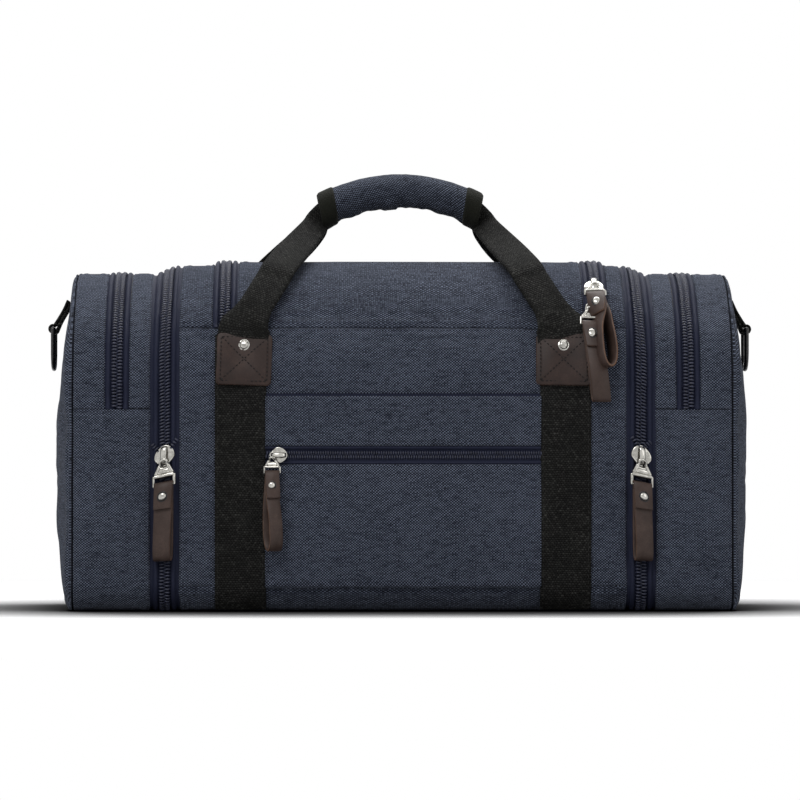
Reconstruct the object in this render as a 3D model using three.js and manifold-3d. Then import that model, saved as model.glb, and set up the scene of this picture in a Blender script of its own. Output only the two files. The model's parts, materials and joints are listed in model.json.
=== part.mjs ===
// An expandable canvas weekender bag: a soft box with a zipped top, two end pockets that open
// outwards, two ends that unzip and slide out, a front pocket and two joined carry handles.
// Millimetres. +X to the right along the bag, -Y towards the front, +Z up, floor at z = 0.

import * as THREE from "three";
import { mergeVertices } from "three/addons/utils/BufferGeometryUtils.js";
import Module from "manifold-3d";

const wasm = await Module();
wasm.setup();

// ---------------------------------------------------------------- driving dimensions

const bagLength = 530;
const bagDepth = 244;
const bagHeight = 264;
const bottomRadius = 22;
const topRadius = 92;
const endDrop = 6; // the end sections stand this much lower than the middle
const endNarrow = 2; // and each side of them is this much nearer the middle plane
const wall = 3; // canvas, padding and lining together
const seam = 0.3; // clearance between sewn pieces
const arcSteps = 8; // flat facets in each rounded corner

const frontSeamHeight = bagHeight - 52; // where the front and back panels end
const bottomSeamHeight = 18;
const tapeThickness = 1.6;

const endSeamX = bagLength / 2 - 19; // seam round the domed end panel
const endRoundness = 0.38; // how far the domed end panel draws in
const domeSteps = 4;
const dividerThickness = 1.5;

const pocketZipX = endSeamX - 33; // zips of the two end pockets
const pocketZipHalf = 8.5;
const pocketHeight = bagHeight - 114; // lower edge of the end flaps

const girthZipX = pocketZipX - 35.5; // zips that go right round the bag, and let the ends slide out
const girthZipHalf = 10.5;
const bellowsThickness = 2.6;

const topZipX = girthZipX - 38.5; // distance of the two runs of the top zip from their middle
const topZipShift = 6; // the top opening lies a little to the right
const topZipHalf = 8.5;
const foldHeight = bagHeight - 15; // the lid folds here, just above its parked sliders
const backZipHeight = bagHeight - 18; // the top zip's run along the back

const boardThickness = 3;
const boardMargin = 6;

const webbingWidth = 38;
const webbingThickness = 2;
const webbingX = topZipX - 18;
const webbingLow = 5;
const patchWidth = webbingWidth + 3;
const patchHigh = frontSeamHeight - 8;
const patchLow = patchHigh - 36;
const patchThickness = 2;
const rivetRadius = 4.2;
const rivetDrop = 9; // from the patch's upper edge to the rivet's centre
const rivetHead = 1.8;

const panelHalf = webbingX - webbingWidth / 2 - seam; // front pocket between the two straps
const panelLow = 18;
const panelHigh = frontSeamHeight - 52;
const slitHeight = panelHigh - 44;
const slitHalf = 4;
const slitMargin = 2.5;
const pocketPanel = 2;

const gripHeight = bagHeight + 55; // middle of the grip at its crown
const gripEndHeight = gripHeight - 13;
const gripHalf = webbingX / 2 + 0.5;
const foldedWebbing = webbingWidth / 2; // webbing folded double inside the grip
const gripTall = 1.5 * foldedWebbing + 3.5;
const gripDeep = 28;
const gripEndExtra = 2.5;
const bindingLength = 12;
const foldedThickness = 2 * webbingThickness;
const slotHalf = 0.75 * foldedWebbing - 2.25;
const strapSpacing = 4; // each handle's webbing from the middle plane, inside the grip
const slotFront = strapSpacing + foldedThickness / 2 + 3 * seam;
const shoulder = 0.75 * foldedWebbing - 0.25; // from the grip's end to the strap's last bend
const hugStep = topRadius * 0.22; // between the points where a handle lies against the bag
const hugRise = 1.5; // and it stands this much further off at each of them

const sliderLong = 16;
const sliderWide = 11;
const sliderPlate = 2.5;
const bridgeHigh = 5.6;
const bridgeBar = 1.4;
const bridgeWide = 3.2;
const bridgeHalf = 5;
const pullerWide = 10;
const pullerBar = 1.5;
const pullerLong = 14;
const eyeLong = 5.6; // the stretch of the puller beside the bridge
const pullerFoot = 15;
const leatherHalf = 7;
const leatherLong = 68;
const leatherThick = 4;
const pullLift = 5.75;
const girthSliderHeight = slitHeight + 6;
const pocketSliderHeight = pocketHeight + 10;
const lowerSliderHeight = frontSeamHeight + 12;
const upperSliderHeight = lowerSliderHeight + 16.5;

const ringWide = 32;
const ringTall = 34;
const ringBar = 3.4;
const ringClearance = 0.4;
const tabWide = 22;
const tabLong = 20; // the stretch of the tab that is sewn down
const tabHeight = bagHeight - 50; // height of the D-ring's straight bar
const tabHole = ringBar * 0.75 + ringClearance;

// ---------------------------------------------------------------- materials

function material(color, roughness, metalness = 0) {
  return new THREE.MeshStandardMaterial({ color, roughness, metalness });
}

const canvas = () => material(0x3b435a, 0.92);
const webbing = () => material(0x23241f, 0.9);
const tape = () => material(0x1e2137, 0.8);
const leather = () => material(0x41332f, 0.55);
const nickel = () => material(0xc9c8c2, 0.22, 1);
const darkMetal = () => material(0x3a3a3c, 0.35, 1);
const stiffener = () => material(0x2a2a2c, 0.8);

// ---------------------------------------------------------------- solids

// A closed geometry from shared points, with its faces turned outwards.
function closedBody(points, triangles) {
  let volume = 0;
  const cross = new THREE.Vector3();
  for (const [a, b, c] of triangles) {
    cross.crossVectors(points[b], points[c]);
    volume += points[a].dot(cross);
  }
  const faces = volume < 0 ? triangles.map(([a, b, c]) => [a, c, b]) : triangles;
  const geometry = new THREE.BufferGeometry();
  geometry.setAttribute(
    "position",
    new THREE.Float32BufferAttribute(points.flatMap((p) => p.toArray()), 3),
  );
  geometry.setIndex(faces.flat());
  return geometry;
}

// Joins equal rings of points into one body. The contour, in two dimensions, caps both ends.
function loft(rings, contour) {
  const count = contour.length;
  const last = (rings.length - 1) * count;
  const triangles = [];
  for (let ring = 0; ring + 1 < rings.length; ring += 1) {
    for (let i = 0; i < count; i += 1) {
      const j = (i + 1) % count;
      const a = ring * count + i;
      const b = ring * count + j;
      triangles.push([a, b, a + count], [b, b + count, a + count]);
    }
  }
  const clockwise = THREE.ShapeUtils.isClockWise(contour);
  for (const face of THREE.ShapeUtils.triangulateShape(contour, [])) {
    const [a, b, c] = clockwise ? [...face].reverse() : face;
    triangles.push([c, b, a], [a + last, b + last, c + last]);
  }
  return closedBody(rings.flat(), triangles);
}

// Extrudes a section drawn in the YZ plane from x0 to x1.
function prism(shape, x0, x1) {
  const options = { depth: x1 - x0, bevelEnabled: false, steps: 1 };
  const geometry = new THREE.ExtrudeGeometry(shape, options);
  const axes = new THREE.Matrix4().makeBasis(
    new THREE.Vector3(0, 1, 0),
    new THREE.Vector3(0, 0, 1),
    new THREE.Vector3(1, 0, 0),
  );
  return geometry.applyMatrix4(axes.setPosition(x0, 0, 0));
}

function box(x0, x1, y0, y1, z0, z1) {
  const geometry = new THREE.BoxGeometry(x1 - x0, y1 - y0, z1 - z0);
  return geometry.translate((x0 + x1) / 2, (y0 + y1) / 2, (z0 + z1) / 2);
}

function toSolid(geometry) {
  const bare = geometry.clone();
  bare.deleteAttribute("normal");
  bare.deleteAttribute("uv");
  const merged = mergeVertices(bare, 1e-4);
  return new wasm.Manifold(
    new wasm.Mesh({
      numProp: 3,
      vertProperties: new Float32Array(merged.attributes.position.array),
      triVerts: new Uint32Array(merged.index.array),
    }),
  );
}

function toGeometry(solid) {
  const result = solid.getMesh();
  const geometry = new THREE.BufferGeometry();
  geometry.setAttribute(
    "position",
    new THREE.Float32BufferAttribute(Array.from(result.vertProperties), 3),
  );
  geometry.setIndex(Array.from(result.triVerts));
  return geometry;
}

function join(...geometries) {
  return toGeometry(geometries.map(toSolid).reduce((sum, next) => sum.add(next)));
}

function cut(geometry, ...tools) {
  return toGeometry(tools.map(toSolid).reduce((rest, tool) => rest.subtract(tool), toSolid(geometry)));
}

function keepInside(geometry, region) {
  return toGeometry(toSolid(geometry).intersect(toSolid(region)));
}

// Turns a geometry over to the other side of the bag, along one axis.
function mirrored(geometry, axis) {
  const flip = { x: [-1, 1, 1], y: [1, -1, 1] }[axis];
  const copy = geometry.index ? geometry.clone() : mergeVertices(geometry);
  copy.scale(...flip);
  const index = Array.from(copy.index.array);
  for (let i = 0; i < index.length; i += 3) {
    [index[i + 1], index[i + 2]] = [index[i + 2], index[i + 1]];
  }
  copy.setIndex(index);
  return copy;
}

// ---------------------------------------------------------------- the bag's section

// A rounded section in the YZ plane. Distances run along its skin from the middle of the floor,
// up the front, over the top and down the back. Lift is the height above the skin.
function section(depth, height) {
  const half = depth / 2;
  const flatBottom = half - bottomRadius;
  const flatTop = half - topRadius;
  const side = height - bottomRadius - topRadius;
  const ends = [flatBottom, (bottomRadius * Math.PI) / 2, side, (topRadius * Math.PI) / 2, flatTop];
  const marks = ends.map((_, i) => ends.slice(0, i + 1).reduce((a, b) => a + b));
  const girth = 2 * marks[4];

  function point(distance, lift) {
    const wrapped = distance - girth * Math.round(distance / girth);
    const s = Math.abs(wrapped);
    const back = wrapped < 0 ? -1 : 1;
    let y = -s;
    let z = -lift;
    if (s > marks[3]) {
      y = s - marks[4];
      z = height + lift;
    } else if (s > marks[2]) {
      const angle = (s - marks[2]) / topRadius;
      y = -flatTop - (topRadius + lift) * Math.cos(angle);
      z = height - topRadius + (topRadius + lift) * Math.sin(angle);
    } else if (s > marks[1]) {
      y = -half - lift;
      z = bottomRadius + s - marks[1];
    } else if (s > marks[0]) {
      const angle = (s - marks[0]) / bottomRadius;
      y = -flatBottom - (bottomRadius + lift) * Math.sin(angle);
      z = bottomRadius - (bottomRadius + lift) * Math.cos(angle);
    }
    return new THREE.Vector2(back * y, z);
  }

  // Distance along the front skin at a height.
  function atHeight(z) {
    if (z < bottomRadius) {
      return marks[0] + bottomRadius * Math.acos(1 - z / bottomRadius);
    }
    const aboveSide = z - (height - topRadius);
    if (aboveSide > 0) {
      return marks[2] + topRadius * Math.asin(aboveSide / topRadius);
    }
    return marks[1] + z - bottomRadius;
  }

  // Distance along the front skin of a point near it, above the bottom corner.
  function distanceOf(y, z) {
    const aboveSide = z - (height - topRadius);
    if (aboveSide < 0) {
      return marks[1] + z - bottomRadius;
    }
    return marks[2] + topRadius * Math.atan2(aboveSide, -y - flatTop);
  }

  const knots = marks.slice(0, 4);
  for (let i = 1; i < arcSteps; i += 1) {
    knots.push(marks[0] + (ends[1] * i) / arcSteps, marks[2] + (ends[3] * i) / arcSteps);
  }
  const round = [...knots, ...knots.map((s) => -s)];
  const allKnots = [...round, ...round.map((s) => s + girth)].sort((a, b) => a - b);
  const between = (from, to) => allKnots.filter((s) => s > from + 0.05 && s < to - 0.05);

  function along(from, to, lift) {
    return [from, ...between(from, to), to].map((s) => point(s, lift));
  }

  // A layer between two lifts, from one distance to another.
  function strip(from, to, low, high) {
    return new THREE.Shape([...along(from, to, high), ...along(from, to, low).reverse()]);
  }

  function outline(lift) {
    return between(-girth / 2, girth / 2).map((s) => point(s, lift));
  }

  function ring(low, high) {
    const shape = new THREE.Shape(outline(high));
    shape.holes.push(new THREE.Path(outline(low).reverse()));
    return shape;
  }

  return { half, height, girth, point, atHeight, distanceOf, strip, outline, ring };
}

const middle = section(bagDepth, bagHeight);
const end = section(bagDepth - 2 * endNarrow, bagHeight - endDrop);

const upTo = (profile, height) => profile.atHeight(height);

// ---------------------------------------------------------------- body panels

function bottomPanel() {
  const s = upTo(middle, bottomSeamHeight);
  const inner = girthZipX - girthZipHalf - seam;
  return prism(middle.strip(-s, s, -wall, 0), -inner, inner);
}

function baseBoard() {
  const x = girthZipX - girthZipHalf - boardMargin;
  const y = middle.half - bottomRadius - boardMargin;
  return box(-x, x, -y, y, wall + seam, wall + seam + boardThickness);
}

function sidePanel() {
  const low = upTo(middle, bottomSeamHeight) + seam;
  const high = upTo(middle, frontSeamHeight) - seam;
  const inner = girthZipX - girthZipHalf - seam;
  return prism(middle.strip(low, high, -wall, 0), -inner, inner);
}

// A side panel with the narrower stretch above it that reaches up to the lid.
function raisedPanel(top, x0, x1) {
  const low = upTo(middle, frontSeamHeight) - wall;
  const high = upTo(middle, top) - seam;
  return join(sidePanel(), prism(middle.strip(low, high, -wall, 0), x0, x1));
}

function frontPanel() {
  const reach = topZipX - seam;
  return raisedPanel(foldHeight, topZipShift - reach, topZipShift + reach);
}

function backPanel() {
  const reach = topZipX + topZipHalf;
  return mirrored(raisedPanel(backZipHeight, topZipShift - reach, topZipShift + reach), "y");
}

// Arch beside the top zip, from the front seam over the top to the back seam.
function topBorder(side) {
  const s = upTo(middle, frontSeamHeight);
  const near = topZipShift + side * (topZipX + topZipHalf + seam);
  const far = side * (girthZipX - girthZipHalf - seam);
  const shape = middle.strip(s, middle.girth - s, -wall, 0);
  return prism(shape, Math.min(near, far), Math.max(near, far));
}

// Half of the top zip: the outer half is sewn to the bag and the inner half to the lid.
function topZipOuter() {
  const x0 = topZipShift - topZipX - topZipHalf;
  const x1 = topZipShift + topZipX + topZipHalf;
  const s = upTo(middle, frontSeamHeight);
  const backRun = middle.girth - upTo(middle, backZipHeight) - topZipHalf;
  const whole = prism(middle.strip(s, backRun + topZipHalf, -tapeThickness, 0), x0, x1);
  const opening = prism(
    middle.strip(s - 5, backRun, -tapeThickness - 5, 5),
    x0 + topZipHalf,
    x1 - topZipHalf,
  );
  return cut(whole, opening);
}

function topZipInner() {
  const x0 = topZipShift - topZipX + seam;
  const x1 = topZipShift + topZipX - seam;
  const fold = upTo(middle, foldHeight) + seam;
  const backRun = middle.girth - upTo(middle, backZipHeight) - topZipHalf - seam;
  const whole = prism(middle.strip(fold, backRun, -tapeThickness, 0), x0, x1);
  const inside = prism(
    middle.strip(fold - 5, backRun - topZipHalf, -tapeThickness - 5, 5),
    x0 + topZipHalf,
    x1 - topZipHalf,
  );
  return cut(whole, inside);
}

function lidPanel() {
  const reach = topZipX - topZipHalf - 2 * seam;
  const fold = upTo(middle, foldHeight) + seam;
  const backRun = middle.girth - upTo(middle, backZipHeight) - 2 * topZipHalf - 2 * seam;
  return prism(middle.strip(fold, backRun, -wall, 0), topZipShift - reach, topZipShift + reach);
}

// ---------------------------------------------------------------- front pocket

function frontPocketPanel() {
  const shape = middle.strip(upTo(middle, panelLow), upTo(middle, panelHigh), seam, seam + pocketPanel);
  const slit = panelHalf - slitMargin;
  const panel = prism(shape, -panelHalf, panelHalf);
  const y = -middle.half;
  const window = box(-slit, slit, y - 9, y + 9, slitHeight - slitHalf, slitHeight + slitHalf);
  return cut(panel, window);
}

function frontPocketZip() {
  const reach = panelHalf - slitMargin - seam;
  const y = -middle.half - seam;
  const half = slitHalf - seam;
  return box(-reach, reach, y - tapeThickness, y, slitHeight - half, slitHeight + half);
}

// ---------------------------------------------------------------- webbing and patches

function sideWebbing() {
  const shape = middle.strip(
    upTo(middle, webbingLow),
    upTo(middle, patchHigh),
    seam,
    seam + webbingThickness,
  );
  return prism(shape, -webbingWidth / 2, webbingWidth / 2);
}

const patchLift = webbingThickness + 2 * seam;

function patch() {
  const shape = middle.strip(
    upTo(middle, patchLow),
    upTo(middle, patchHigh),
    patchLift,
    patchLift + patchThickness,
  );
  return prism(shape, -patchWidth / 2, patchWidth / 2);
}

function rivet() {
  const dome = [
    [0, 0],
    [rivetRadius, 0],
    [rivetRadius, rivetHead * 0.35],
    [rivetRadius * 0.7, rivetHead * 0.85],
    [0, rivetHead],
  ].map(([r, h]) => new THREE.Vector2(r, h));
  const head = new THREE.LatheGeometry(dome, 12);
  const s = upTo(middle, patchHigh - rivetDrop);
  const foot = middle.point(s, patchLift + patchThickness + 2 * seam);
  const outward = middle.point(s, patchLift + patchThickness + 2 * seam + 1).sub(foot);
  return head.rotateX(outward.angle()).translate(0, foot.x, foot.y);
}

// ---------------------------------------------------------------- the sliding ends

// Everything on the ends is drawn for the right, and turned over for the left.

function girthTapeInner() {
  const shape = middle.ring(-tapeThickness, 0);
  return prism(shape, girthZipX - girthZipHalf, girthZipX - seam / 2);
}

function girthTapeOuter() {
  const shape = end.ring(-tapeThickness, 0);
  return prism(shape, girthZipX + seam / 2, girthZipX + girthZipHalf);
}

// Folded canvas behind the zip, which opens out as the end slides.
function bellows() {
  const high = -tapeThickness - seam;
  const shape = end.ring(high - bellowsThickness, high);
  return prism(shape, girthZipX - girthZipHalf + seam, girthZipX + girthZipHalf - seam);
}

function endGusset() {
  const x0 = girthZipX + girthZipHalf + seam;
  const x1 = endSeamX - seam;
  const band = prism(end.ring(-wall, 0), x0, x1);
  const gap = box(
    pocketZipX - pocketZipHalf - seam,
    x1 + 5,
    -bagDepth,
    bagDepth,
    pocketHeight,
    bagHeight + 5,
  );
  return cut(band, gap);
}

// Arch from the end pocket's front corner over the top to its back corner.
function pocketArch(x0, x1, thickness) {
  const s = upTo(end, pocketHeight) + seam;
  return prism(end.strip(s, end.girth - s, -thickness, 0), x0, x1);
}

const pocketTapeInner = () =>
  pocketArch(pocketZipX - pocketZipHalf, pocketZipX - seam / 2, tapeThickness);
const pocketTapeOuter = () =>
  pocketArch(pocketZipX + seam / 2, pocketZipX + pocketZipHalf, tapeThickness);

function endDivider() {
  const x1 = pocketZipX - pocketZipHalf - seam;
  const shape = new THREE.Shape(end.outline(-wall - seam));
  return prism(shape, x1 - dividerThickness, x1);
}

// The domed end, as a dish with an even wall.
function endDish() {
  const outer = end.outline(0);
  const inner = end.outline(-wall);
  const centre = new THREE.Vector2(0, end.height / 2);
  const bulge = bagLength / 2 - endSeamX;
  const place = (points, turn, back) =>
    points.map((p) => {
      const shrink = 1 - endRoundness * (1 - Math.cos(turn));
      const y = centre.x + (p.x - centre.x) * shrink;
      const z = centre.y + (p.y - centre.y) * shrink;
      return new THREE.Vector3(endSeamX + (bulge - back) * Math.sin(turn), y, z);
    });
  const turns = Array.from({ length: domeSteps + 1 }, (_, i) => ((i / domeSteps) * Math.PI) / 2);
  const rings = [
    ...[...turns].reverse().map((turn) => place(inner, turn, wall)),
    ...turns.map((turn) => place(outer, turn, 0)),
  ];
  return loft(rings, outer);
}

function endPanel(z0, z1) {
  return keepInside(endDish(), box(endSeamX - 10, bagLength, -bagDepth, bagDepth, z0, z1));
}

const endPanelLower = () => endPanel(-10, pocketHeight - seam / 2);

// The end pocket's flap: the upper end panel sewn to its own strip of gusset.
function endFlap() {
  const gusset = pocketArch(pocketZipX + pocketZipHalf + seam, endSeamX, wall);
  return join(gusset, endPanel(pocketHeight + seam, bagHeight + 10));
}

// ---------------------------------------------------------------- D-rings

function ringTab() {
  const x = bagLength / 2 + seam;
  const outer = tabHole + webbingThickness;
  const centre = x + outer;
  const loop = new THREE.CylinderGeometry(outer, outer, tabWide, 12).translate(centre, 0, tabHeight);
  const hole = new THREE.CylinderGeometry(tabHole, tabHole, tabWide + 2, 12).translate(
    centre,
    0,
    tabHeight,
  );
  const half = tabWide / 2;
  const sewn = box(x, x + webbingThickness, -half, half, tabHeight, tabHeight + tabLong);
  return cut(join(loop, sewn), hole);
}

function dRing() {
  const wide = ringWide / 2;
  const outline = (grow) => {
    const r = wide - grow;
    const shape = new THREE.Shape();
    const straight = ringTall - wide - ringBar / 2;
    shape.moveTo(-r, ringBar / 2 - grow);
    shape.lineTo(-r, -straight);
    shape.absarc(0, -straight, r, Math.PI, 2 * Math.PI, false);
    shape.lineTo(r, ringBar / 2 - grow);
    shape.closePath();
    return shape;
  };
  const shape = new THREE.Shape(outline(0).getPoints(8));
  shape.holes.push(new THREE.Path(outline(ringBar).getPoints(8)));
  const x = bagLength / 2 + seam + tabHole + webbingThickness;
  return prism(shape, x - ringBar / 2, x + ringBar / 2).translate(0, 0, tabHeight);
}

// ---------------------------------------------------------------- zip sliders and pulls

// A slider on the front skin at a distance, with a bridge for its pull.
function slider(profile, s, x, across = false) {
  const long = across ? sliderWide / 2 : sliderLong / 2;
  const wide = across ? sliderLong / 2 : sliderWide / 2;
  const top = seam + sliderPlate;
  const layer = (from, to, low, high, half) =>
    prism(profile.strip(s + from, s + to, low, high), x - half, x + half);
  return join(
    layer(-long, long, seam, top, wide),
    layer(-bridgeHalf, -bridgeHalf + bridgeBar, top - 1, top + bridgeHigh, bridgeWide / 2),
    layer(bridgeHalf - bridgeBar, bridgeHalf, top - 1, top + bridgeHigh, bridgeWide / 2),
    layer(-bridgeHalf, bridgeHalf, top + bridgeHigh - bridgeBar, top + bridgeHigh, bridgeWide / 2),
  );
}

// The pull's metal eye runs through the bridge, and its leather hangs down the skin below.
// Its leather stands further out by the rise. Each bend is [length, sideways slope], from the
// pivot down.
function pull(profile, s, x, rise = 0, bends = []) {
  const bar = pullerBar / 2;
  const low = pullLift - bar;
  const high = pullLift + bar;

  function layer(from, to, low, high, x0, x1) {
    const geometry = prism(profile.strip(s - to, s - from, low, high), x + x0, x + x1);
    const position = geometry.attributes.position;
    for (let i = 0; i < position.count; i += 1) {
      let below = s - profile.distanceOf(position.getY(i), position.getZ(i));
      let shift = 0;
      for (const [length, slope] of bends) {
        shift += Math.min(Math.max(below, 0), length) * slope;
        below -= length;
      }
      position.setX(i, position.getX(i) + shift);
    }
    return geometry;
  }

  const side = pullerWide / 2;
  const foot = pullerFoot / 2;
  const tip = pullerLong + leatherLong;
  const bars = [[-side, pullerBar - side], [side - pullerBar, side]].flatMap(([x0, x1]) => [
    layer(-bar, eyeLong, low, high, x0, x1),
    layer(eyeLong - 0.1, pullerLong, low, high, x0, x1),
  ]);
  return join(
    layer(-bar, bar, low, high, -side, side),
    ...bars,
    layer(pullerLong - pullerBar, pullerLong, low, high + rise, -foot, foot),
    layer(pullerLong - bar, tip, low + rise, low + rise + leatherThick, -leatherHalf, leatherHalf),
  );
}

// ---------------------------------------------------------------- handles

// Middle line of the front handle's left half, from the patch to the crown of the grip.
function handleLine() {
  const base = upTo(middle, patchHigh) + 3.5 * seam;
  const lift = patchLift + seam / 2;
  const lean = (webbingX - gripHalf) / (gripEndHeight - patchHigh);
  const hug = [0, 1, 2, 3, 4].map((i) => {
    const p = middle.point(base + hugStep * i, lift + hugRise * i);
    return new THREE.Vector3((p.y - patchHigh) * lean - webbingX, p.x, p.y);
  });
  return new THREE.CatmullRomCurve3([
    ...hug,
    new THREE.Vector3(-gripHalf - shoulder, -18, gripEndHeight - 14),
    ...[1.1, 0.98, 0.8, 0.5, 0.25, 0].map(
      (part) => new THREE.Vector3(-part * gripHalf, -strapSpacing, gripLine(part * gripHalf)),
    ),
  ]);
}

// The webbing of one handle, flat against the bag and folded narrow inside the grip.
function handleWebbing() {
  const line = handleLine();
  const steps = 22;
  const stations = [];
  for (let i = 0; i <= steps; i += 1) {
    const t = i / steps;
    const centre = line.getPoint(t);
    const tangent = line.getTangent(t);
    if (i === steps) {
      tangent.set(1, 0, 0);
    }
    const folded = THREE.MathUtils.smoothstep(centre.x, -gripHalf - 36, -gripHalf - 8);
    const early = THREE.MathUtils.smoothstep(t, 0, 0.12);
    const outward = new THREE.Vector3(0, -1, 0.9 * early * (1 - folded));
    const flat = outward.addScaledVector(tangent, -outward.dot(tangent)).normalize();
    const across = new THREE.Vector3().crossVectors(tangent, flat).normalize();
    if (i === 0) {
      across.set(across.x < 0 ? -1 : 1, 0, 0);
    }
    const halfWidth = THREE.MathUtils.lerp(webbingWidth, foldedWebbing, folded) / 2;
    const halfThick = THREE.MathUtils.lerp(webbingThickness, foldedThickness, folded) / 2;
    stations.push({ centre, flat, across, halfWidth, halfThick });
  }
  const ring = ({ centre, flat, across, halfWidth, halfThick }, side) =>
    [
      [-1, -1],
      [1, -1],
      [1, 1],
      [-1, 1],
    ].map(([u, v]) => {
      const p = centre.clone();
      p.addScaledVector(across, u * halfWidth).addScaledVector(flat, v * halfThick);
      return new THREE.Vector3(side * p.x, p.y, p.z);
    });
  const left = stations.map((station) => ring(station, 1));
  const right = stations
    .slice(0, -1)
    .reverse()
    .map((station) => ring(station, -1));
  const contour = [
    [-1, -1],
    [1, -1],
    [1, 1],
    [-1, 1],
  ].map(([u, v]) => new THREE.Vector2(u, v));
  return loft([...left, ...right], contour);
}

// Height of the grip's middle line.
function gripLine(x) {
  const t = Math.min(Math.abs(x) / gripHalf, 1);
  return gripHeight - (gripHeight - gripEndHeight) * t * t;
}

// Padded wrap around both handles, open at the back so that the rear handle can leave it.
function gripWrap() {
  const section2d = [];
  const arcs = 7;
  for (let i = 0; i <= arcs; i += 1) {
    const angle = THREE.MathUtils.lerp(0.36, 1.64, i / arcs) * Math.PI;
    section2d.push([Math.cos(angle), Math.sin(angle)]);
  }
  const stations = [-gripHalf, -gripHalf + bindingLength, -gripHalf + bindingLength + 0.5];
  for (let i = 1; i < 8; i += 1) {
    stations.push(THREE.MathUtils.lerp(-1, 1, i / 8) * (gripHalf - bindingLength));
  }
  stations.push(gripHalf - bindingLength - 0.5, gripHalf - bindingLength, gripHalf);
  const contour = (grow) => {
    const outer = section2d.map(
      ([c, s]) => new THREE.Vector2(c * (gripDeep / 2 + grow), s * (gripTall / 2 + grow)),
    );
    const first = outer[0];
    const last = outer[outer.length - 1];
    return [
      new THREE.Vector2(first.x, slotHalf),
      ...outer,
      new THREE.Vector2(last.x, -slotHalf),
      new THREE.Vector2(-slotFront, -slotHalf),
      new THREE.Vector2(-slotFront, slotHalf),
    ];
  };
  const rings = stations.map((x) => {
    const bound = Math.abs(x) > gripHalf - bindingLength - 0.1;
    const shape = contour(bound ? gripEndExtra : 0);
    return shape.map((p) => new THREE.Vector3(x, p.x, gripLine(x) + p.y));
  });
  return loft(rings, contour(0));
}

// ---------------------------------------------------------------- assembly

const bag = new THREE.Group();

function add(name, geometry, finish, position = [0, 0, 0]) {
  const mesh = new THREE.Mesh(geometry, finish);
  mesh.name = name;
  mesh.position.set(...position);
  bag.add(mesh);
}

add("bottom_panel", bottomPanel(), canvas());
add("base_board", baseBoard(), stiffener());
add("front_panel", frontPanel(), canvas());
add("back_panel", backPanel(), canvas());
add("top_border_left", topBorder(-1), canvas());
add("top_border_right", topBorder(1), canvas());
add("top_zip_tape_outer", topZipOuter(), tape());
add("lid_panel", lidPanel(), canvas());
add("top_zip_tape_inner", topZipInner(), tape());
add("front_pocket_panel", frontPocketPanel(), canvas());
add("front_pocket_zip", frontPocketZip(), tape());

for (const [sideName, side] of [["left", -1], ["right", 1]]) {
  const at = [side * webbingX, 0, 0];
  for (const [faceName, turn] of [["front", (g) => g], ["back", (g) => mirrored(g, "y")]]) {
    add(`webbing_${faceName}_${sideName}`, turn(sideWebbing()), webbing(), at);
    add(`patch_${faceName}_${sideName}`, turn(patch()), leather(), at);
  }
  add(`patch_rivet_${sideName}`, rivet(), nickel(), at);
}

const ends = {
  girth_zip_tape_inner: [girthTapeInner, tape],
  girth_zip_tape_outer: [girthTapeOuter, tape],
  expansion_bellows: [bellows, canvas],
  end_gusset: [endGusset, canvas],
  end_divider: [endDivider, canvas],
  end_panel: [endPanelLower, canvas],
  end_flap: [endFlap, canvas],
  pocket_zip_tape_inner: [pocketTapeInner, tape],
  pocket_zip_tape_outer: [pocketTapeOuter, tape],
  ring_tab: [ringTab, webbing],
  d_ring: [dRing, darkMetal],
  girth_slider: [() => slider(middle, upTo(middle, girthSliderHeight), girthZipX), nickel],
  girth_pull: [() => pull(middle, upTo(middle, girthSliderHeight), girthZipX), leather],
  end_pocket_slider: [
    () => mirrored(slider(end, upTo(end, pocketSliderHeight), pocketZipX), "y"),
    nickel,
  ],
  end_pocket_pull: [
    () => mirrored(pull(end, upTo(end, pocketSliderHeight), pocketZipX), "y"),
    leather,
  ],
};
for (const [name, [build, finish]] of Object.entries(ends)) {
  add(`right_${name}`, build(), finish());
  add(`left_${name}`, mirrored(build(), "x"), finish());
}

const slitSliderX = -panelHalf + slitMargin + seam + sliderLong / 2;
const slitDistance = upTo(middle, slitHeight);
const slitLift = [0, -seam - pocketPanel, 0];
add("front_pocket_slider", slider(middle, slitDistance, slitSliderX, true), nickel(), slitLift);
add("front_pocket_pull", pull(middle, slitDistance, slitSliderX), leather(), slitLift);

const topSliderX = topZipShift + topZipX;
const lowerSlider = upTo(middle, lowerSliderHeight);
const upperSlider = upTo(middle, upperSliderHeight);
const lowerBends = [[pullerLong, 0.2], [80, 0.05]];
const upperBends = [[eyeLong, 0.12], [6.5, 2.45], [80, 0.1]];
add("top_slider_lower", slider(middle, lowerSlider, topSliderX), nickel());
add("top_pull_lower", pull(middle, lowerSlider, topSliderX, 1, lowerBends), leather());
add("top_slider_upper", slider(middle, upperSlider, topSliderX), nickel());
add("top_pull_upper", pull(middle, upperSlider, topSliderX, 1, upperBends), leather());

add("front_handle_webbing", handleWebbing(), webbing());
add("back_handle_webbing", mirrored(handleWebbing(), "y"), webbing());
add("grip_wrap", gripWrap(), canvas());

export default bag;
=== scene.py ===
"""The looks of an expandable canvas weekender bag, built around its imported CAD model.

Lengths inside this script are millimetres in the CAD frame (+X right, -Y front, +Z up, floor at
z = 0) and become metres when a mesh is made. Places on the bag's skin are written (u, s): u runs
along the bag and on over its domed ends, s runs round its girth from the middle of the floor, up
the front, over the top and down the back. Everything that is sewn to the bag is drawn in (u, s)
and laid on the same skin, so that all of it follows the fabric's swell and wrinkles.
"""

import json
import math

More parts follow.
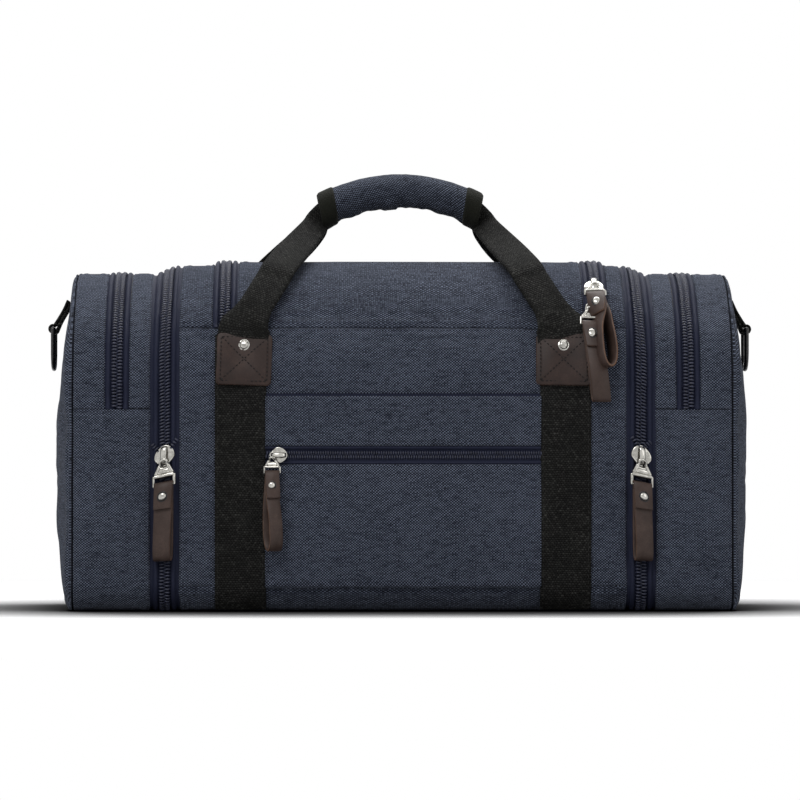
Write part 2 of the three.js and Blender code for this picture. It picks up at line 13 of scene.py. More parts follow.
import bmesh
import bpy
import numpy as np
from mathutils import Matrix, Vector


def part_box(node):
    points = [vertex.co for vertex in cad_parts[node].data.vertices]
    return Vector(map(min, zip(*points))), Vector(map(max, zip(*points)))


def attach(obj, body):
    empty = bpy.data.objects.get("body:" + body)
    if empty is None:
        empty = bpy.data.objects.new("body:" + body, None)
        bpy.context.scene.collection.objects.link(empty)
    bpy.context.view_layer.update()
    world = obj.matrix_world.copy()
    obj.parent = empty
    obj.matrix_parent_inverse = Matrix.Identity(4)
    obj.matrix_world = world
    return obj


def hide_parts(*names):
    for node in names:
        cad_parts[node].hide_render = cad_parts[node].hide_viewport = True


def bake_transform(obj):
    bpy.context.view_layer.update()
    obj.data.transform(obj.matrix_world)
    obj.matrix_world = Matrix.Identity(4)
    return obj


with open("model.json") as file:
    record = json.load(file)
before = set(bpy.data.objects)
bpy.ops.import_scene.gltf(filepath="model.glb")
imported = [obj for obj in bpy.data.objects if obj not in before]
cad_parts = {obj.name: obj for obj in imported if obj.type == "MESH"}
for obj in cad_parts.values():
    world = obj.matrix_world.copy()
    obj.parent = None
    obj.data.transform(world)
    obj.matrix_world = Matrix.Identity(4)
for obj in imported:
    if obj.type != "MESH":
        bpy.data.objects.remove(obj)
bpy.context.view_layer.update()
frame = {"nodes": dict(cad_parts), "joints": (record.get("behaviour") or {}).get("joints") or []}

MM = 0.001


def corners(node):
    """A CAD node's lowest and highest corners, in millimetres."""
    low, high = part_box(node)
    return np.array(low) / MM, np.array(high) / MM


def centre_of(node):
    low, high = corners(node)
    return (low + high) / 2


def half_of(node):
    low, high = corners(node)
    return (high - low) / 2


# ---------------------------------------------------------------- sizes taken from the frame

MID_HALF = -corners("front_panel")[0][1]
MID_HEIGHT = corners("top_border_right")[1][2]
END_HALF = corners("right_end_gusset")[1][1]
END_HEIGHT = corners("right_end_flap")[1][2]
BODY_X = corners("right_girth_zip_tape_inner")[0][0]  # where the girth zip's tape starts
GIRTH_X = centre_of("right_girth_slider")[0]
GUSSET_X = corners("right_girth_zip_tape_outer")[1][0]
POCKET_X = centre_of("right_end_pocket_slider")[0]
POCKET_IN = corners("right_pocket_zip_tape_inner")[0][0]
POCKET_OUT = corners("right_pocket_zip_tape_outer")[1][0]
SEAM_X = corners("right_end_flap")[0][0] + 24.0  # the seam round the domed end
END_X = corners("right_end_panel")[1][0] - 4.5  # the dome sags this far inside the panel
FLAP_Z = corners("right_pocket_zip_tape_inner")[0][2]
BOTTOM_Z = corners("bottom_panel")[1][2]
SEAM_Z = corners("top_zip_tape_outer")[0][2]
LID_X = centre_of("lid_panel")[0]
LID_HALF = half_of("lid_panel")[0]
TOP_ZIP = half_of("top_zip_tape_outer")[0]
TOP_RUN = TOP_ZIP - 8.5  # from the lid's middle to the top zip's chain
POCKET_LOW, POCKET_HIGH = (corners("front_pocket_panel")[i][2] for i in (0, 1))
POCKET_HALF = corners("front_pocket_panel")[1][0]
SLIT_Z = centre_of("front_pocket_zip")[2]
WEB_X = centre_of("webbing_front_right")[0]
WEB_HALF = half_of("webbing_front_right")[0]
WEB_LOW = corners("webbing_front_right")[0][2]
PATCH_LOW, PATCH_HIGH = (corners("patch_front_right")[i][2] for i in (0, 1))
PATCH_HALF = half_of("patch_front_right")[0]
GRIP_HALF = corners("grip_wrap")[1][0]
GRIP_TOP = corners("grip_wrap")[1][2]
JOINTS = {joint["name"]: joint for joint in frame["joints"]}
FOLD = np.array(JOINTS["lid_open"]["pos_m"]) / MM

# Sizes that no corner of the frame gives.
BOTTOM_RADIUS = 22.0
TOP_RADIUS = 92.0
WALL = 3.0
CAP_REACH = 125.0  # from the end seam to the middle of the domed end, along the skin
CAP_SHAPE = 2.5  # how square the dome is
ZIP_DEEP = -0.9  # the tapes lie this far below the canvas
GRID = 4.0  # usual spacing of a panel's points
FINE_GRID = 3.4  # spacing where folds and small swells show

# ---------------------------------------------------------------- noise and ramps


def smooth(x, low, high):
    """0 up to low and 1 from high, with a soft ramp between."""
    t = np.clip((np.asarray(x, float) - low) / (high - low), 0, 1)
    return t * t * (3 - 2 * t)


def hump(x, low, high, power=0.7):
    """0 at and beyond both ends, 1 in the middle."""
    t = np.clip((np.asarray(x, float) - low) / (high - low), 0, 1)
    return np.sin(np.pi * t) ** power


CELLS = 256
LATTICE = np.random.RandomState(11).uniform(-1, 1, (CELLS, CELLS))


def lattice_at(i, j):
    return LATTICE[i % CELLS, j % CELLS]


def noise(x, y, layer=0):
    """Smooth value noise from -1 to 1, with one cell to a unit."""
    x, y = np.asarray(x, float) + 17.3 * layer, np.asarray(y, float) - 9.1 * layer
    i, j = np.floor(x).astype(int), np.floor(y).astype(int)
    fx, fy = x - i, y - j
    fx, fy = fx * fx * (3 - 2 * fx), fy * fy * (3 - 2 * fy)
    low = lattice_at(i, j) * (1 - fx) + lattice_at(i + 1, j) * fx
    high = lattice_at(i, j + 1) * (1 - fx) + lattice_at(i + 1, j + 1) * fx
    return low * (1 - fy) + high * fy


# ---------------------------------------------------------------- the skin


class Section:
    """The bag's rounded outline across its length."""

    def __init__(self, half, height):
        flat_bottom, flat_top = half - BOTTOM_RADIUS, half - TOP_RADIUS
        side = height - BOTTOM_RADIUS - TOP_RADIUS
        quarter = math.pi / 2
        runs = [flat_bottom, BOTTOM_RADIUS * quarter, side, TOP_RADIUS * quarter, flat_top]
        self.half, self.height, self.marks = half, height, np.cumsum(runs)
        self.flat_bottom, self.flat_top = flat_bottom, flat_top
        self.girth = 2 * self.marks[-1]

    def point(self, distance):
        """y and z at a distance round the girth."""
        wrapped = distance - self.girth * np.round(distance / self.girth)
        s = np.abs(wrapped)
        m = self.marks
        low = (s - m[0]) / BOTTOM_RADIUS
        high = (s - m[2]) / TOP_RADIUS
        parts = [s > m[3], s > m[2], s > m[1], s > m[0]]
        y = np.select(
            parts,
            [
                s - m[4],
                -self.flat_top - TOP_RADIUS * np.cos(high),
                np.full_like(s, -self.half),
                -self.flat_bottom - BOTTOM_RADIUS * np.sin(low),
            ],
            -s,
        )
        z = np.select(
            parts,
            [
                np.full_like(s, self.height),
                self.height - TOP_RADIUS + TOP_RADIUS * np.sin(high),
                BOTTOM_RADIUS + s - m[1],
                BOTTOM_RADIUS - BOTTOM_RADIUS * np.cos(low),
            ],
            0.0,
        )
        return np.where(wrapped < 0, -1, 1) * y, z

    def up(self, z):
        """Distance of a height on the front."""
        if z < BOTTOM_RADIUS:
            return self.marks[0] + BOTTOM_RADIUS * math.acos(1 - z / BOTTOM_RADIUS)
        if z > self.height - TOP_RADIUS:
            turn = math.asin(min(1, (z - self.height + TOP_RADIUS) / TOP_RADIUS))
            return self.marks[2] + TOP_RADIUS * turn
        return self.marks[1] + z - BOTTOM_RADIUS


MIDDLE = Section(MID_HALF, MID_HEIGHT)
END = Section(END_HALF, END_HEIGHT)
GIRTH = MIDDLE.girth


def up(z):
    """Distance of a height on the front."""
    return MIDDLE.up(z)


def down(z):
    """Distance of a height on the back."""
    return GIRTH - MIDDLE.up(z)


def end_up(z):
    """Distance of a height of the end sections, told in the middle's distances."""
    return float(np.interp(END.up(z), [0, *END.marks], [0, *MIDDLE.marks]))


def base(u, s):
    """Points of the bag's plain shape."""
    u, s = np.broadcast_arrays(np.asarray(u, float), np.asarray(s, float))
    a = np.abs(u)
    y0, z0 = MIDDLE.point(s)
    wrapped = s - GIRTH * np.round(s / GIRTH)
    at_end = np.sign(wrapped) * np.interp(np.abs(wrapped), [0, *MIDDLE.marks], [0, *END.marks])
    y1, z1 = END.point(at_end)
    w = smooth(a, BODY_X, GUSSET_X)
    y, z = y0 + (y1 - y0) * w, z0 + (z1 - z0) * w
    r = np.clip(1 - (a - SEAM_X) / CAP_REACH, 0, 1)
    bulge = (END_X - SEAM_X) * (1 - r**CAP_SHAPE) ** (1 / CAP_SHAPE)
    centre = END_HEIGHT / 2
    x = np.sign(u) * (np.minimum(a, SEAM_X) + bulge)
    return np.stack([x, y * r, centre + (z - centre) * r], -1)


def base_normal(u, s):
    """Outward normals of the plain shape."""
    u, s = np.broadcast_arrays(np.asarray(u, float), np.asarray(s, float))
    inward = SEAM_X + CAP_REACH - 3
    v = np.clip(u, -inward, inward)
    step = 0.5
    across = base(v + step, s) - base(v - step, s)
    along = base(v, s + step) - base(v, s - step)
    n = np.cross(across, along)
    return n / np.maximum(np.linalg.norm(n, axis=-1, keepdims=True), 1e-9)


def on_side(side, a, b):
    """Two distances from the middle as u values on one side, in rising order."""
    return min(side * a, side * b), max(side * a, side * b)


BACK_FOLD_Z = 232  # where the top's swell ends and the back's begins

# Swells of the fabric between its seams: u from and to, s from and to, height.
SWELLS = [
    (LID_X - LID_HALF, LID_X + LID_HALF, up(SEAM_Z), down(BACK_FOLD_Z), 3.5),
    (-WEB_X + WEB_HALF, WEB_X - WEB_HALF, up(POCKET_LOW), up(SLIT_Z - 5), 2.6),
    (-WEB_X + WEB_HALF, WEB_X - WEB_HALF, up(SLIT_Z + 5), up(POCKET_HIGH), 1.0),
    (-WEB_X + WEB_HALF, WEB_X - WEB_HALF, up(POCKET_HIGH), up(SEAM_Z), 1.6),
    (-BODY_X, -WEB_X - WEB_HALF + 6, up(BOTTOM_Z), up(SEAM_Z), 1.8),
    (WEB_X + WEB_HALF - 6, BODY_X, up(BOTTOM_Z), up(SEAM_Z), 1.8),
    (-BODY_X, BODY_X, down(BACK_FOLD_Z), down(BOTTOM_Z), 5.0),
    (-BODY_X, LID_X - TOP_ZIP, up(SEAM_Z), down(SEAM_Z), 2.4),
    (LID_X + TOP_ZIP, BODY_X, up(SEAM_Z), down(SEAM_Z), 1.8),
]
for side in (-1, 1):
    for x0, x1, s0, s1, height in [
        (GUSSET_X, SEAM_X, up(4), end_up(FLAP_Z), 3.0),
        (GUSSET_X, SEAM_X, GIRTH - end_up(FLAP_Z), GIRTH - up(4), 3.0),
        (GUSSET_X, POCKET_IN, end_up(FLAP_Z), GIRTH - end_up(FLAP_Z), 1.6),
        (POCKET_OUT, SEAM_X, end_up(FLAP_Z), GIRTH - end_up(FLAP_Z), 1.6),
    ]:
        SWELLS.append((*on_side(side, x0, x1), s0, s1, height))

# Soft folds: from (u, s) to (u, s), half width, height.
FOLDS = [
    ((112, up(238)), (131, up(262)), 6, 2.2),
    ((96, up(226)), (128, up(250)), 7, -1.8),
    ((154, up(236)), (166, up(262)), 4, 1.8),
    ((-128, up(236)), (-104, up(222)), 6, 1.4),
    ((-126, up(220)), (-96, up(196)), 7, -1.2),
    ((92, up(224)), (104, up(196)), 7, -1.6),
    ((-152, up(214)), (-146, up(258)), 4, 1.2),
    ((-60, up(262)), (40, up(256)), 16, -1.2),
]

SEAM_DIP, SEAM_WIDE = 1.3, 4.0  # the groove at an end seam
DOME_EASE = 0.6
TOP_CALM = 0.85  # how much of the swell the contents press flat on top
SINK = 3.0
LEAN = 3.5
field = None  # the simulated swell, once there is one: (u values, s values, heights)


def between(values, x):
    """Index and weight of x between evenly spaced values."""
    t = np.clip((x - values[0]) / (values[1] - values[0]), 0, len(values) - 1.0001)
    i = t.astype(int)
    return i, t - i


def simulated(u, s):
    """Height of the simulated swell."""
    us, ss, heights = field
    i, fu = between(us, u)
    j, fs = between(ss, s)
    low = heights[i, j] * (1 - fu) + heights[i + 1, j] * fu
    high = heights[i, j + 1] * (1 - fu) + heights[i + 1, j + 1] * fu
    return low * (1 - fs) + high * fs


def folds(u, s):
    """Height of each soft fold."""
    for start, stop, wide, height in FOLDS:
        p, q = np.array(start), np.array(stop)
        line = q - p
        t = np.clip(((u - p[0]) * line[0] + (s - p[1]) * line[1]) / (line @ line), 0, 1)
        away = np.hypot(u - p[0] - t * line[0], s - p[1] - t * line[1])
        yield height * np.exp(-((away / wide) ** 2)) * hump(t, -0.15, 1.15, 1)


def swell(u, s):
    """Height of the fabric above the plain shape."""
    u, s = np.broadcast_arrays(np.asarray(u, float), np.asarray(s, float))
    s = np.mod(s, GIRTH)
    a = np.abs(u)
    d = np.zeros_like(u)
    for u0, u1, s0, s1, height in SWELLS:
        d += height * hump(u, u0, u1) * hump(s, s0, s1, 0.5)
    for height in folds(u, s):
        d += height
    d -= SEAM_DIP * np.exp(-(((a - SEAM_X) / SEAM_WIDE) ** 2))
    d += DOME_EASE * (smooth(a, SEAM_X, SEAM_X + 60) * (1 - smooth(a, SEAM_X + 80, SEAM_X + CAP_REACH)))
    # Small undulations, quiet along every zip.
    near = np.minimum(np.abs(a - GIRTH_X), np.abs(a - POCKET_X))
    quiet = smooth(near, 7, 20) * smooth(np.abs(s - up(SLIT_Z)), 5, 18)
    d += 0.55 * quiet * noise(u / 34, s / 30, 1)
    d += 0.3 * quiet * noise(u / 13, s / 15, 2)
    if field is not None:
        d += simulated(u, s)
    # The top lies flat over the contents, and it sinks beside the top zip and at the shoulders.
    _, z = MIDDLE.point(s)
    over = smooth(z, 205, 245)
    d *= 1 - TOP_CALM * over
    d -= SINK * over * smooth(np.abs(u - LID_X), TOP_RUN + 5, TOP_RUN + 13)
    shoulder = smooth(a, SEAM_X, SEAM_X + 35) * (1 - smooth(a, SEAM_X + 60, SEAM_X + CAP_REACH))
    d -= LEAN * shoulder * smooth(z, 150, 240)
    return d * smooth(z, 2, 26)


def skin(u, s, lift=0.0):
    """Points at a lift above the fabric."""
    n = base_normal(u, s)
    height = swell(u, s) + lift
    p = base(u, s) + n * height[..., None]
    p[..., 2] = np.maximum(p[..., 2], 0.15)
    return p


# ---------------------------------------------------------------- meshes


def new_object(name, points, faces, materials, uv=None, indices=None, smooth_faces=True):
    """A mesh object from points in millimetres. uv is per point, in millimetres."""
    mesh = bpy.data.meshes.new(name)
    mesh.from_pydata((np.asarray(points, float).reshape(-1, 3) * MM).tolist(), [], faces)
    for m in materials:
        mesh.materials.append(m)
    if indices is not None:
        mesh.polygons.foreach_set("material_index", np.asarray(indices, np.int32))
    mesh.polygons.foreach_set("use_smooth", [smooth_faces] * len(mesh.polygons))
    if uv is not None:
        layer = mesh.uv_layers.new(name="weave")
        corner = np.zeros(len(mesh.loops), np.int32)
        mesh.loops.foreach_get("vertex_index", corner)
        flat = np.asarray(uv, float).reshape(-1, 2)[corner] * MM
        layer.data.foreach_set("uv", flat.astype(np.float32).ravel())
    mesh.validate()
    mesh.update()
    piece = bpy.data.objects.new(name, mesh)
    bpy.context.scene.collection.objects.link(piece)
    return piece


def grid_faces(rows, columns, start=0, wrap=False, flip=False):
    """Quads over a grid of points stored row by row."""
    i, j = np.meshgrid(np.arange(rows - 1), np.arange(columns if wrap else columns - 1), indexing="ij")
    k = (j + 1) % columns
    quads = np.stack([i * columns + j, (i + 1) * columns + j, (i + 1) * columns + k, i * columns + k], -1)
    quads = quads.reshape(-1, 4) + start
    return (quads[:, ::-1] if flip else quads).tolist()


def slab(name, outer, inner, materials, uv=None, wrap=False):
    """A thick piece between two grids of points. Material 0 is outside, 1 inside and 2 the edges."""
    rows, columns = outer.shape[:2]
    n = rows * columns
    faces = grid_faces(rows, columns, 0, wrap)
    faces += grid_faces(rows, columns, n, wrap, flip=True)
    indices = [0] * (len(faces) // 2) + [min(1, len(materials) - 1)] * (len(faces) // 2)
    edge = [[(r, c) for c in range(columns)] for r in (0, rows - 1)]
    rims = [(edge[0], True), (edge[1], False)]
    if not wrap:
        sides = [[(r, c) for r in range(rows)] for c in (0, columns - 1)]
        rims += [(sides[0], False), (sides[1], True)]
    for rim, turn in rims:
        pairs = list(zip(rim, rim[1:]))
        if wrap:
            pairs.append((rim[-1], rim[0]))
        for (r0, c0), (r1, c1) in pairs:
            a, b = r0 * columns + c0, r1 * columns + c1
            quad = [a, b, b + n, a + n]
            faces.append(quad[::-1] if turn else quad)
            indices.append(len(materials) - 1 if len(materials) > 2 else 0)
    both = None if uv is None else np.concatenate([uv.reshape(-1, 2)] * 2)
    points = np.concatenate([outer.reshape(-1, 3), inner.reshape(-1, 3)])
    return new_object(name, points, faces, materials, both, indices)


def face_outwards(piece, join=False):
    """Turns a piece's faces outwards, after joining points that lie on each other if asked."""
    mesh = bmesh.new()
    mesh.from_mesh(piece.data)
    if join:
        bmesh.ops.remove_doubles(mesh, verts=mesh.verts, dist=0.00001)
    bmesh.ops.recalc_face_normals(mesh, faces=mesh.faces)
    mesh.to_mesh(piece.data)
    mesh.free()
    return piece


def clean(piece):
    """A closed, smooth piece without doubled points."""
    face_outwards(piece, join=True)
    piece.data.polygons.foreach_set("use_smooth", [True] * len(piece.data.polygons))
    return piece


def circle(count):
    """Evenly spaced points (cosine, sine) round a circle."""
    turns = np.linspace(0, 2 * math.pi, count, endpoint=False)
    return [(math.cos(t), math.sin(t)) for t in turns]


def ring_faces(rings, sides, closed=False):
    """Quads of a tube made of rings of points."""
    i, j = np.meshgrid(np.arange(rings if closed else rings - 1), np.arange(sides), indexing="ij")
    k, m = (i + 1) % rings, (j + 1) % sides
    quads = np.stack([i * sides + j, i * sides + m, k * sides + m, k * sides + j], -1)
    return quads.reshape(-1, 4).tolist()


def end_faces(rings, sides):
    """The two faces that close such a tube."""
    return [list(range(sides)), list(range((rings - 1) * sides, rings * sides))[::-1]]


def spline(p, per, closed=False):
    """A smooth line through points, with per steps to each span."""
    count = len(p)

    def pick(i):
        return p[i % count] if closed else p[min(max(i, 0), count - 1)]

    out = []
    for i in range(count if closed else count - 1):
        a, b, c, d = pick(i - 1), pick(i), pick(i + 1), pick(i + 2)
        for k in range(per):
            t = k / per
            out.append(0.5 * (2 * b + (c - a) * t + (2 * a - 5 * b + 4 * c - d) * t * t
                              + (3 * b - a - 3 * c + d) * t**3))
    return np.array(out if closed else [*out, p[-1]])


class Run:
    """A line of (u, s) points that is asked for places and directions by distance."""

    def __init__(self, points):
        self.points = np.asarray(points, float)
        steps = np.linalg.norm(np.diff(self.points, axis=0), axis=1)
        self.far = np.concatenate([[0], np.cumsum(steps)])
        self.length = self.far[-1]

    def at(self, distance):
        return np.stack([np.interp(distance, self.far, self.points[:, k]) for k in (0, 1)], -1)


EDGE_STEPS = [0, 0.35, 0.8, 1.4, 2.0, 2.6, 3.4, 4.6, 6.2, 8.0]


def spaced(low, high, step=GRID, edges=(True, True)):
    """Values from low to high, closer together near the ends that are seams."""
    reach = high - low
    if reach < 2.4 * EDGE_STEPS[-1]:
        near = [e for e in EDGE_STEPS if e < reach / 2 - 0.6]
    else:
        near = EDGE_STEPS
    first = [low + e for e in near] if edges[0] else [low]
    last = [high - e for e in near][::-1] if edges[1] else [high]
    count = max(1, round((last[0] - first[-1]) / step))
    between = np.linspace(first[-1], last[0], count + 1)[1:-1]
    return np.array([*first, *between, *last])


def seam_profile(e, stitched=True, turned=True):
    """Height of a fabric edge, by distance from it: turned under beside a zip, or sewn down."""
    lift = -2.2 * np.exp(-((e / 0.75) ** 1.5)) if turned else -0.7 * np.exp(-((e / 0.6) ** 1.5))
    lift += 0.6 * (1 - smooth(e, 6.0, 8.5))
    if stitched:
        lift -= 0.5 * np.exp(-(((e - 2.8) / 0.8) ** 2))
    return lift


def panel(name, u0, u1, s0, s1, materials, edges="lrbt", lift=0.0, wall=WALL, stitched="lrbt",
          turned="lrbt", step=GRID):
    """A canvas panel over a stretch of the skin. Edges: l and r in u, b and t in s."""
    us = spaced(u0, u1, step, ("l" in edges, "r" in edges))
    ss = spaced(s0, s1, step, ("b" in edges, "t" in edges))
    u, s = np.meshgrid(us, ss, indexing="ij")
    away = {"l": u - u0, "r": u1 - u, "b": s - s0, "t": s1 - s}
    height = np.full_like(u, lift)
    nearest = np.full_like(u, 1e9)
    for edge, e in away.items():
        if edge in edges:
            height += seam_profile(e, edge in stitched, edge in turned)
            nearest = np.minimum(nearest, e)
    pucker = np.exp(-nearest / 5.0)
    height += 0.28 * pucker * (noise(u / 4.1, s / 4.7, 3) + 0.6 * noise(u / 9, s / 8, 4))
    outer = skin(u, s, height)
    inner = skin(u, s, np.minimum(height, lift) - wall)
    return slab(name, outer, inner, materials, np.stack([u, s], -1))


# ---------------------------------------------------------------- materials


def principled(name):
    """A new material with its tree's shorthand and its shader."""
    material = bpy.data.materials.new(name)
    material.use_nodes = True
    tree = material.node_tree
    return material, Nodes(tree), tree.nodes["Principled BSDF"]


class Nodes:
    """Shorthand for adding nodes to a material."""

    def __init__(self, tree):
        self.tree = tree

    def add(self, kind, **settings):
        node = self.tree.nodes.new(kind)
        for key, value in settings.items():
            setattr(node, key, value)
        return node

    def link(self, source, target):
        self.tree.links.new(source, target)

    def math(self, operation, a, b=None, clamp=False):
        node = self.add("ShaderNodeMath", operation=operation, use_clamp=clamp)
        for socket, value in zip(node.inputs, (a, b)):
            if isinstance(value, (int, float)):
                socket.default_value = value
            elif value is not None:
                self.link(value, socket)
        return node.outputs[0]

    def noise(self, vector, scale, detail=2.0, rough=0.5):
        node = self.add("ShaderNodeTexNoise")
        node.inputs["Scale"].default_value = scale
        node.inputs["Detail"].default_value = detail
        node.inputs["Roughness"].default_value = rough
        self.link(vector, node.inputs["Vector"])
        return node.outputs["Fac"]

    def ramp(self, fac, stops):
        node = self.add("ShaderNodeValToRGB")
        elements = node.color_ramp.elements
        while len(elements) < len(stops):
            elements.new(0.5)
        for element, (place, colour) in zip(elements, stops):
            element.position = place
            element.color = (*linear(colour), 1)
        self.link(fac, node.inputs["Fac"])
        return node.outputs["Color"]

    def mix(self, fac, a, b, blend="MIX"):
        node = self.add("ShaderNodeMix", data_type="RGBA", blend_type=blend)
        for socket, value in ((node.inputs[0], fac), (node.inputs[6], a), (node.inputs[7], b)):
            if isinstance(value, (int, float)):
                socket.default_value = value
            elif isinstance(value, tuple):
                socket.default_value = (*linear(value), 1)
            else:
                self.link(value, socket)
        return node.outputs[2]

    def bump(self, height, distance, strength=1.0):
        node = self.add("ShaderNodeBump")
        node.inputs["Strength"].default_value = strength
        node.inputs["Distance"].default_value = distance
        self.link(height, node.inputs["Height"])
        return node.outputs["Normal"]

    def grey(self, value):
        node = self.add("ShaderNodeCombineColor")
        for socket in node.inputs[:3]:
            self.link(value, socket)
        return node.outputs[0]

    def choose(self, fac, first, second):
        """One shader or the other."""
        node = self.add("ShaderNodeMixShader")
        for source, socket in zip((fac, first, second), node.inputs):
            self.link(source, socket)
        return node.outputs[0]


def linear(colour):
    """Linear values of an 8-bit sRGB colour."""
    return tuple((c / 255 / 12.92) if c < 11 else ((c / 255 + 0.055) / 1.055) ** 2.4 for c in colour)


def woven(name, across, along, stops, gap=0.45, height=0.35, stagger=0.0, sheen=0.05, rough=0.9,
          slub=0.5, bold=1.0, two_tone=0.0, shine=0.12):
    """Cloth of crossing threads. across and along are thread widths in millimetres; gap sets how much
    painted shade darkens the gaps between the threads.
    """
    material, n, shader = principled(name)
    uv = n.add("ShaderNodeUVMap", uv_map="weave").outputs["UV"]
    split = n.add("ShaderNodeSeparateXYZ")
    n.link(uv, split.inputs[0])
    wander = n.noise(uv, 1 / (9 * MM), 2)
    x = n.math("MULTIPLY", split.outputs[0], 1 / (across * MM))
    y = n.math("MULTIPLY", split.outputs[1], 1 / (along * MM))
    x = n.math("ADD", x, n.math("MULTIPLY", wander, 1.3))
    y = n.math("ADD", y, n.math("MULTIPLY", wander, -1.1))
    if stagger:
        x = n.math("ADD", x, n.math("MULTIPLY", n.math("FLOOR", y), stagger))
    weave_x = n.math("SINE", n.math("MULTIPLY", x, math.pi))
    weave_y = n.math("SINE", n.math("MULTIPLY", y, math.pi))
    product = n.math("MULTIPLY", weave_x, weave_y)
    top = n.math("POWER", n.math("ABSOLUTE", product), 0.7)

    def threads(index, sideways, seed):
        """Brightness of one set of threads: each thread's own, and its thick and thin stretches."""
        pair = n.add("ShaderNodeCombineXYZ")
        n.link(n.math("FLOOR", index), pair.inputs[0])
        n.link(n.math("MULTIPLY", sideways, 0.16), pair.inputs[1])
        pair.inputs[2].default_value = seed
        return n.noise(pair.outputs[0], 1.0, 3, 0.7)

    warp, weft = threads(x, y, 3.7), threads(y, x, 21.3)
    over = n.math("GREATER_THAN", product, 0.0)
    tint = n.add("ShaderNodeMix", data_type="FLOAT")
    n.link(over, tint.inputs[0])
    n.link(n.math("SUBTRACT", warp, two_tone), tint.inputs[2])
    n.link(n.math("ADD", weft, two_tone), tint.inputs[3])
    grain = n.noise(uv, 1 / (0.55 * MM), 2, 0.8)
    value = n.math("ADD", n.math("MULTIPLY", tint.outputs[0], slub), n.math("MULTIPLY", grain, 1 - slub))
    patchy = n.noise(uv, 1 / (60 * MM), 3)
    value = n.math("ADD", value, n.math("MULTIPLY", n.math("SUBTRACT", patchy, 0.5), 0.1))
    value = n.math("ADD", n.math("MULTIPLY", n.math("SUBTRACT", value, 0.5), bold), 0.5)
    colour = n.ramp(value, stops)
    # Painted shade: the colour is darker in the gaps between the threads than on their tops.
    painted_shade = n.math("ADD", n.math("MULTIPLY", top, gap), 1 - gap * 0.62)
    n.link(n.mix(1.0, colour, n.grey(painted_shade), "MULTIPLY"), shader.inputs["Base Color"])
    rough_top = n.math("ADD", top, n.math("MULTIPLY", grain, 0.35))
    n.link(n.bump(rough_top, height * MM, 0.8), shader.inputs["Normal"])
    shader.inputs["Roughness"].default_value = rough
    shader.inputs["Sheen Weight"].default_value = sheen
    shader.inputs["Sheen Roughness"].default_value = 0.5
    shader.inputs["Specular IOR Level"].default_value = shine
    return material


def leather(name, dark, mid, light, rough=0.5):
    """Cloudy leather with fine pores."""
    material, n, shader = principled(name)
    at = n.add("ShaderNodeTexCoord").outputs["Object"]
    cloud = n.noise(at, 1 / (14 * MM), 4, 0.6)
    fine = n.noise(at, 1 / (1.1 * MM), 3, 0.7)
    value = n.math("ADD", n.math("MULTIPLY", cloud, 0.7), n.math("MULTIPLY", fine, 0.3))
    n.link(n.ramp(value, [(0.3, dark), (0.52, mid), (0.75, light)]), shader.inputs["Base Color"])
    pores = n.add("ShaderNodeTexVoronoi", feature="DISTANCE_TO_EDGE")
    pores.inputs["Scale"].default_value = 1 / (0.9 * MM)
    n.link(at, pores.inputs["Vector"])
    creases = n.math("MINIMUM", pores.outputs["Distance"], 0.25)
    height = n.math("ADD", n.math("MULTIPLY", creases, 1.6), n.math("MULTIPLY", fine, 0.5))
    n.link(n.bump(height, 0.12 * MM, 0.55), shader.inputs["Normal"])
    n.link(n.math("ADD", n.math("MULTIPLY", cloud, 0.2), rough - 0.1), shader.inputs["Roughness"])
    shader.inputs["Specular IOR Level"].default_value = 0.25
    return material


def metal(name, colour, rough):
    """Cast metal, a little worn."""
    material, n, shader = principled(name)
    at = n.add("ShaderNodeTexCoord").outputs["Object"]
    wear = n.noise(at, 1 / (3.5 * MM), 4, 0.6)
    dim = tuple(int(c * 0.82) for c in colour)
    n.link(n.ramp(wear, [(0.35, dim), (0.6, colour)]), shader.inputs["Base Color"])
    n.link(n.math("ADD", n.math("MULTIPLY", wear, 0.16), rough), shader.inputs["Roughness"])
    n.link(n.bump(n.noise(at, 1 / (0.6 * MM), 2), 0.03 * MM, 0.25), shader.inputs["Normal"])
    shader.inputs["Metallic"].default_value = 1.0
    return material


def moulded(name, dark, light, rough, scale=1.2, bump=0.06):
    """Nylon, thread and board: a fine mottled surface."""
    material, n, shader = principled(name)
    at = n.add("ShaderNodeTexCoord").outputs["Object"]
    mottle = n.noise(at, 1 / (scale * MM), 3, 0.6)
    n.link(n.ramp(mottle, [(0.35, dark), (0.7, light)]), shader.inputs["Base Color"])
    n.link(n.bump(mottle, bump * MM, 0.6), shader.inputs["Normal"])
    n.link(n.math("ADD", n.math("MULTIPLY", mottle, 0.15), rough), shader.inputs["Roughness"])
    return material


CANVAS_STOPS = [(0.2, (12, 14, 22)), (0.42, (29, 33, 44)), (0.58, (53, 59, 74)), (0.82, (107, 115, 133))]
GRIP_STOPS = [(place, tuple(0.94 * c for c in colour)) for place, colour in CANVAS_STOPS]
WEBBING_STOPS = [(0.25, (10, 10, 10)), (0.5, (29, 29, 28)), (0.75, (74, 74, 71))]
TAPE_STOPS = [(0.3, (22, 25, 41)), (0.6, (34, 38, 57)), (0.85, (49, 54, 75))]
LINING_STOPS = [(0.3, (26, 28, 36)), (0.7, (42, 45, 56))]
BINDING_STOPS = [(0.3, (18, 19, 15)), (0.6, (30, 31, 25)), (0.85, (48, 49, 42))]

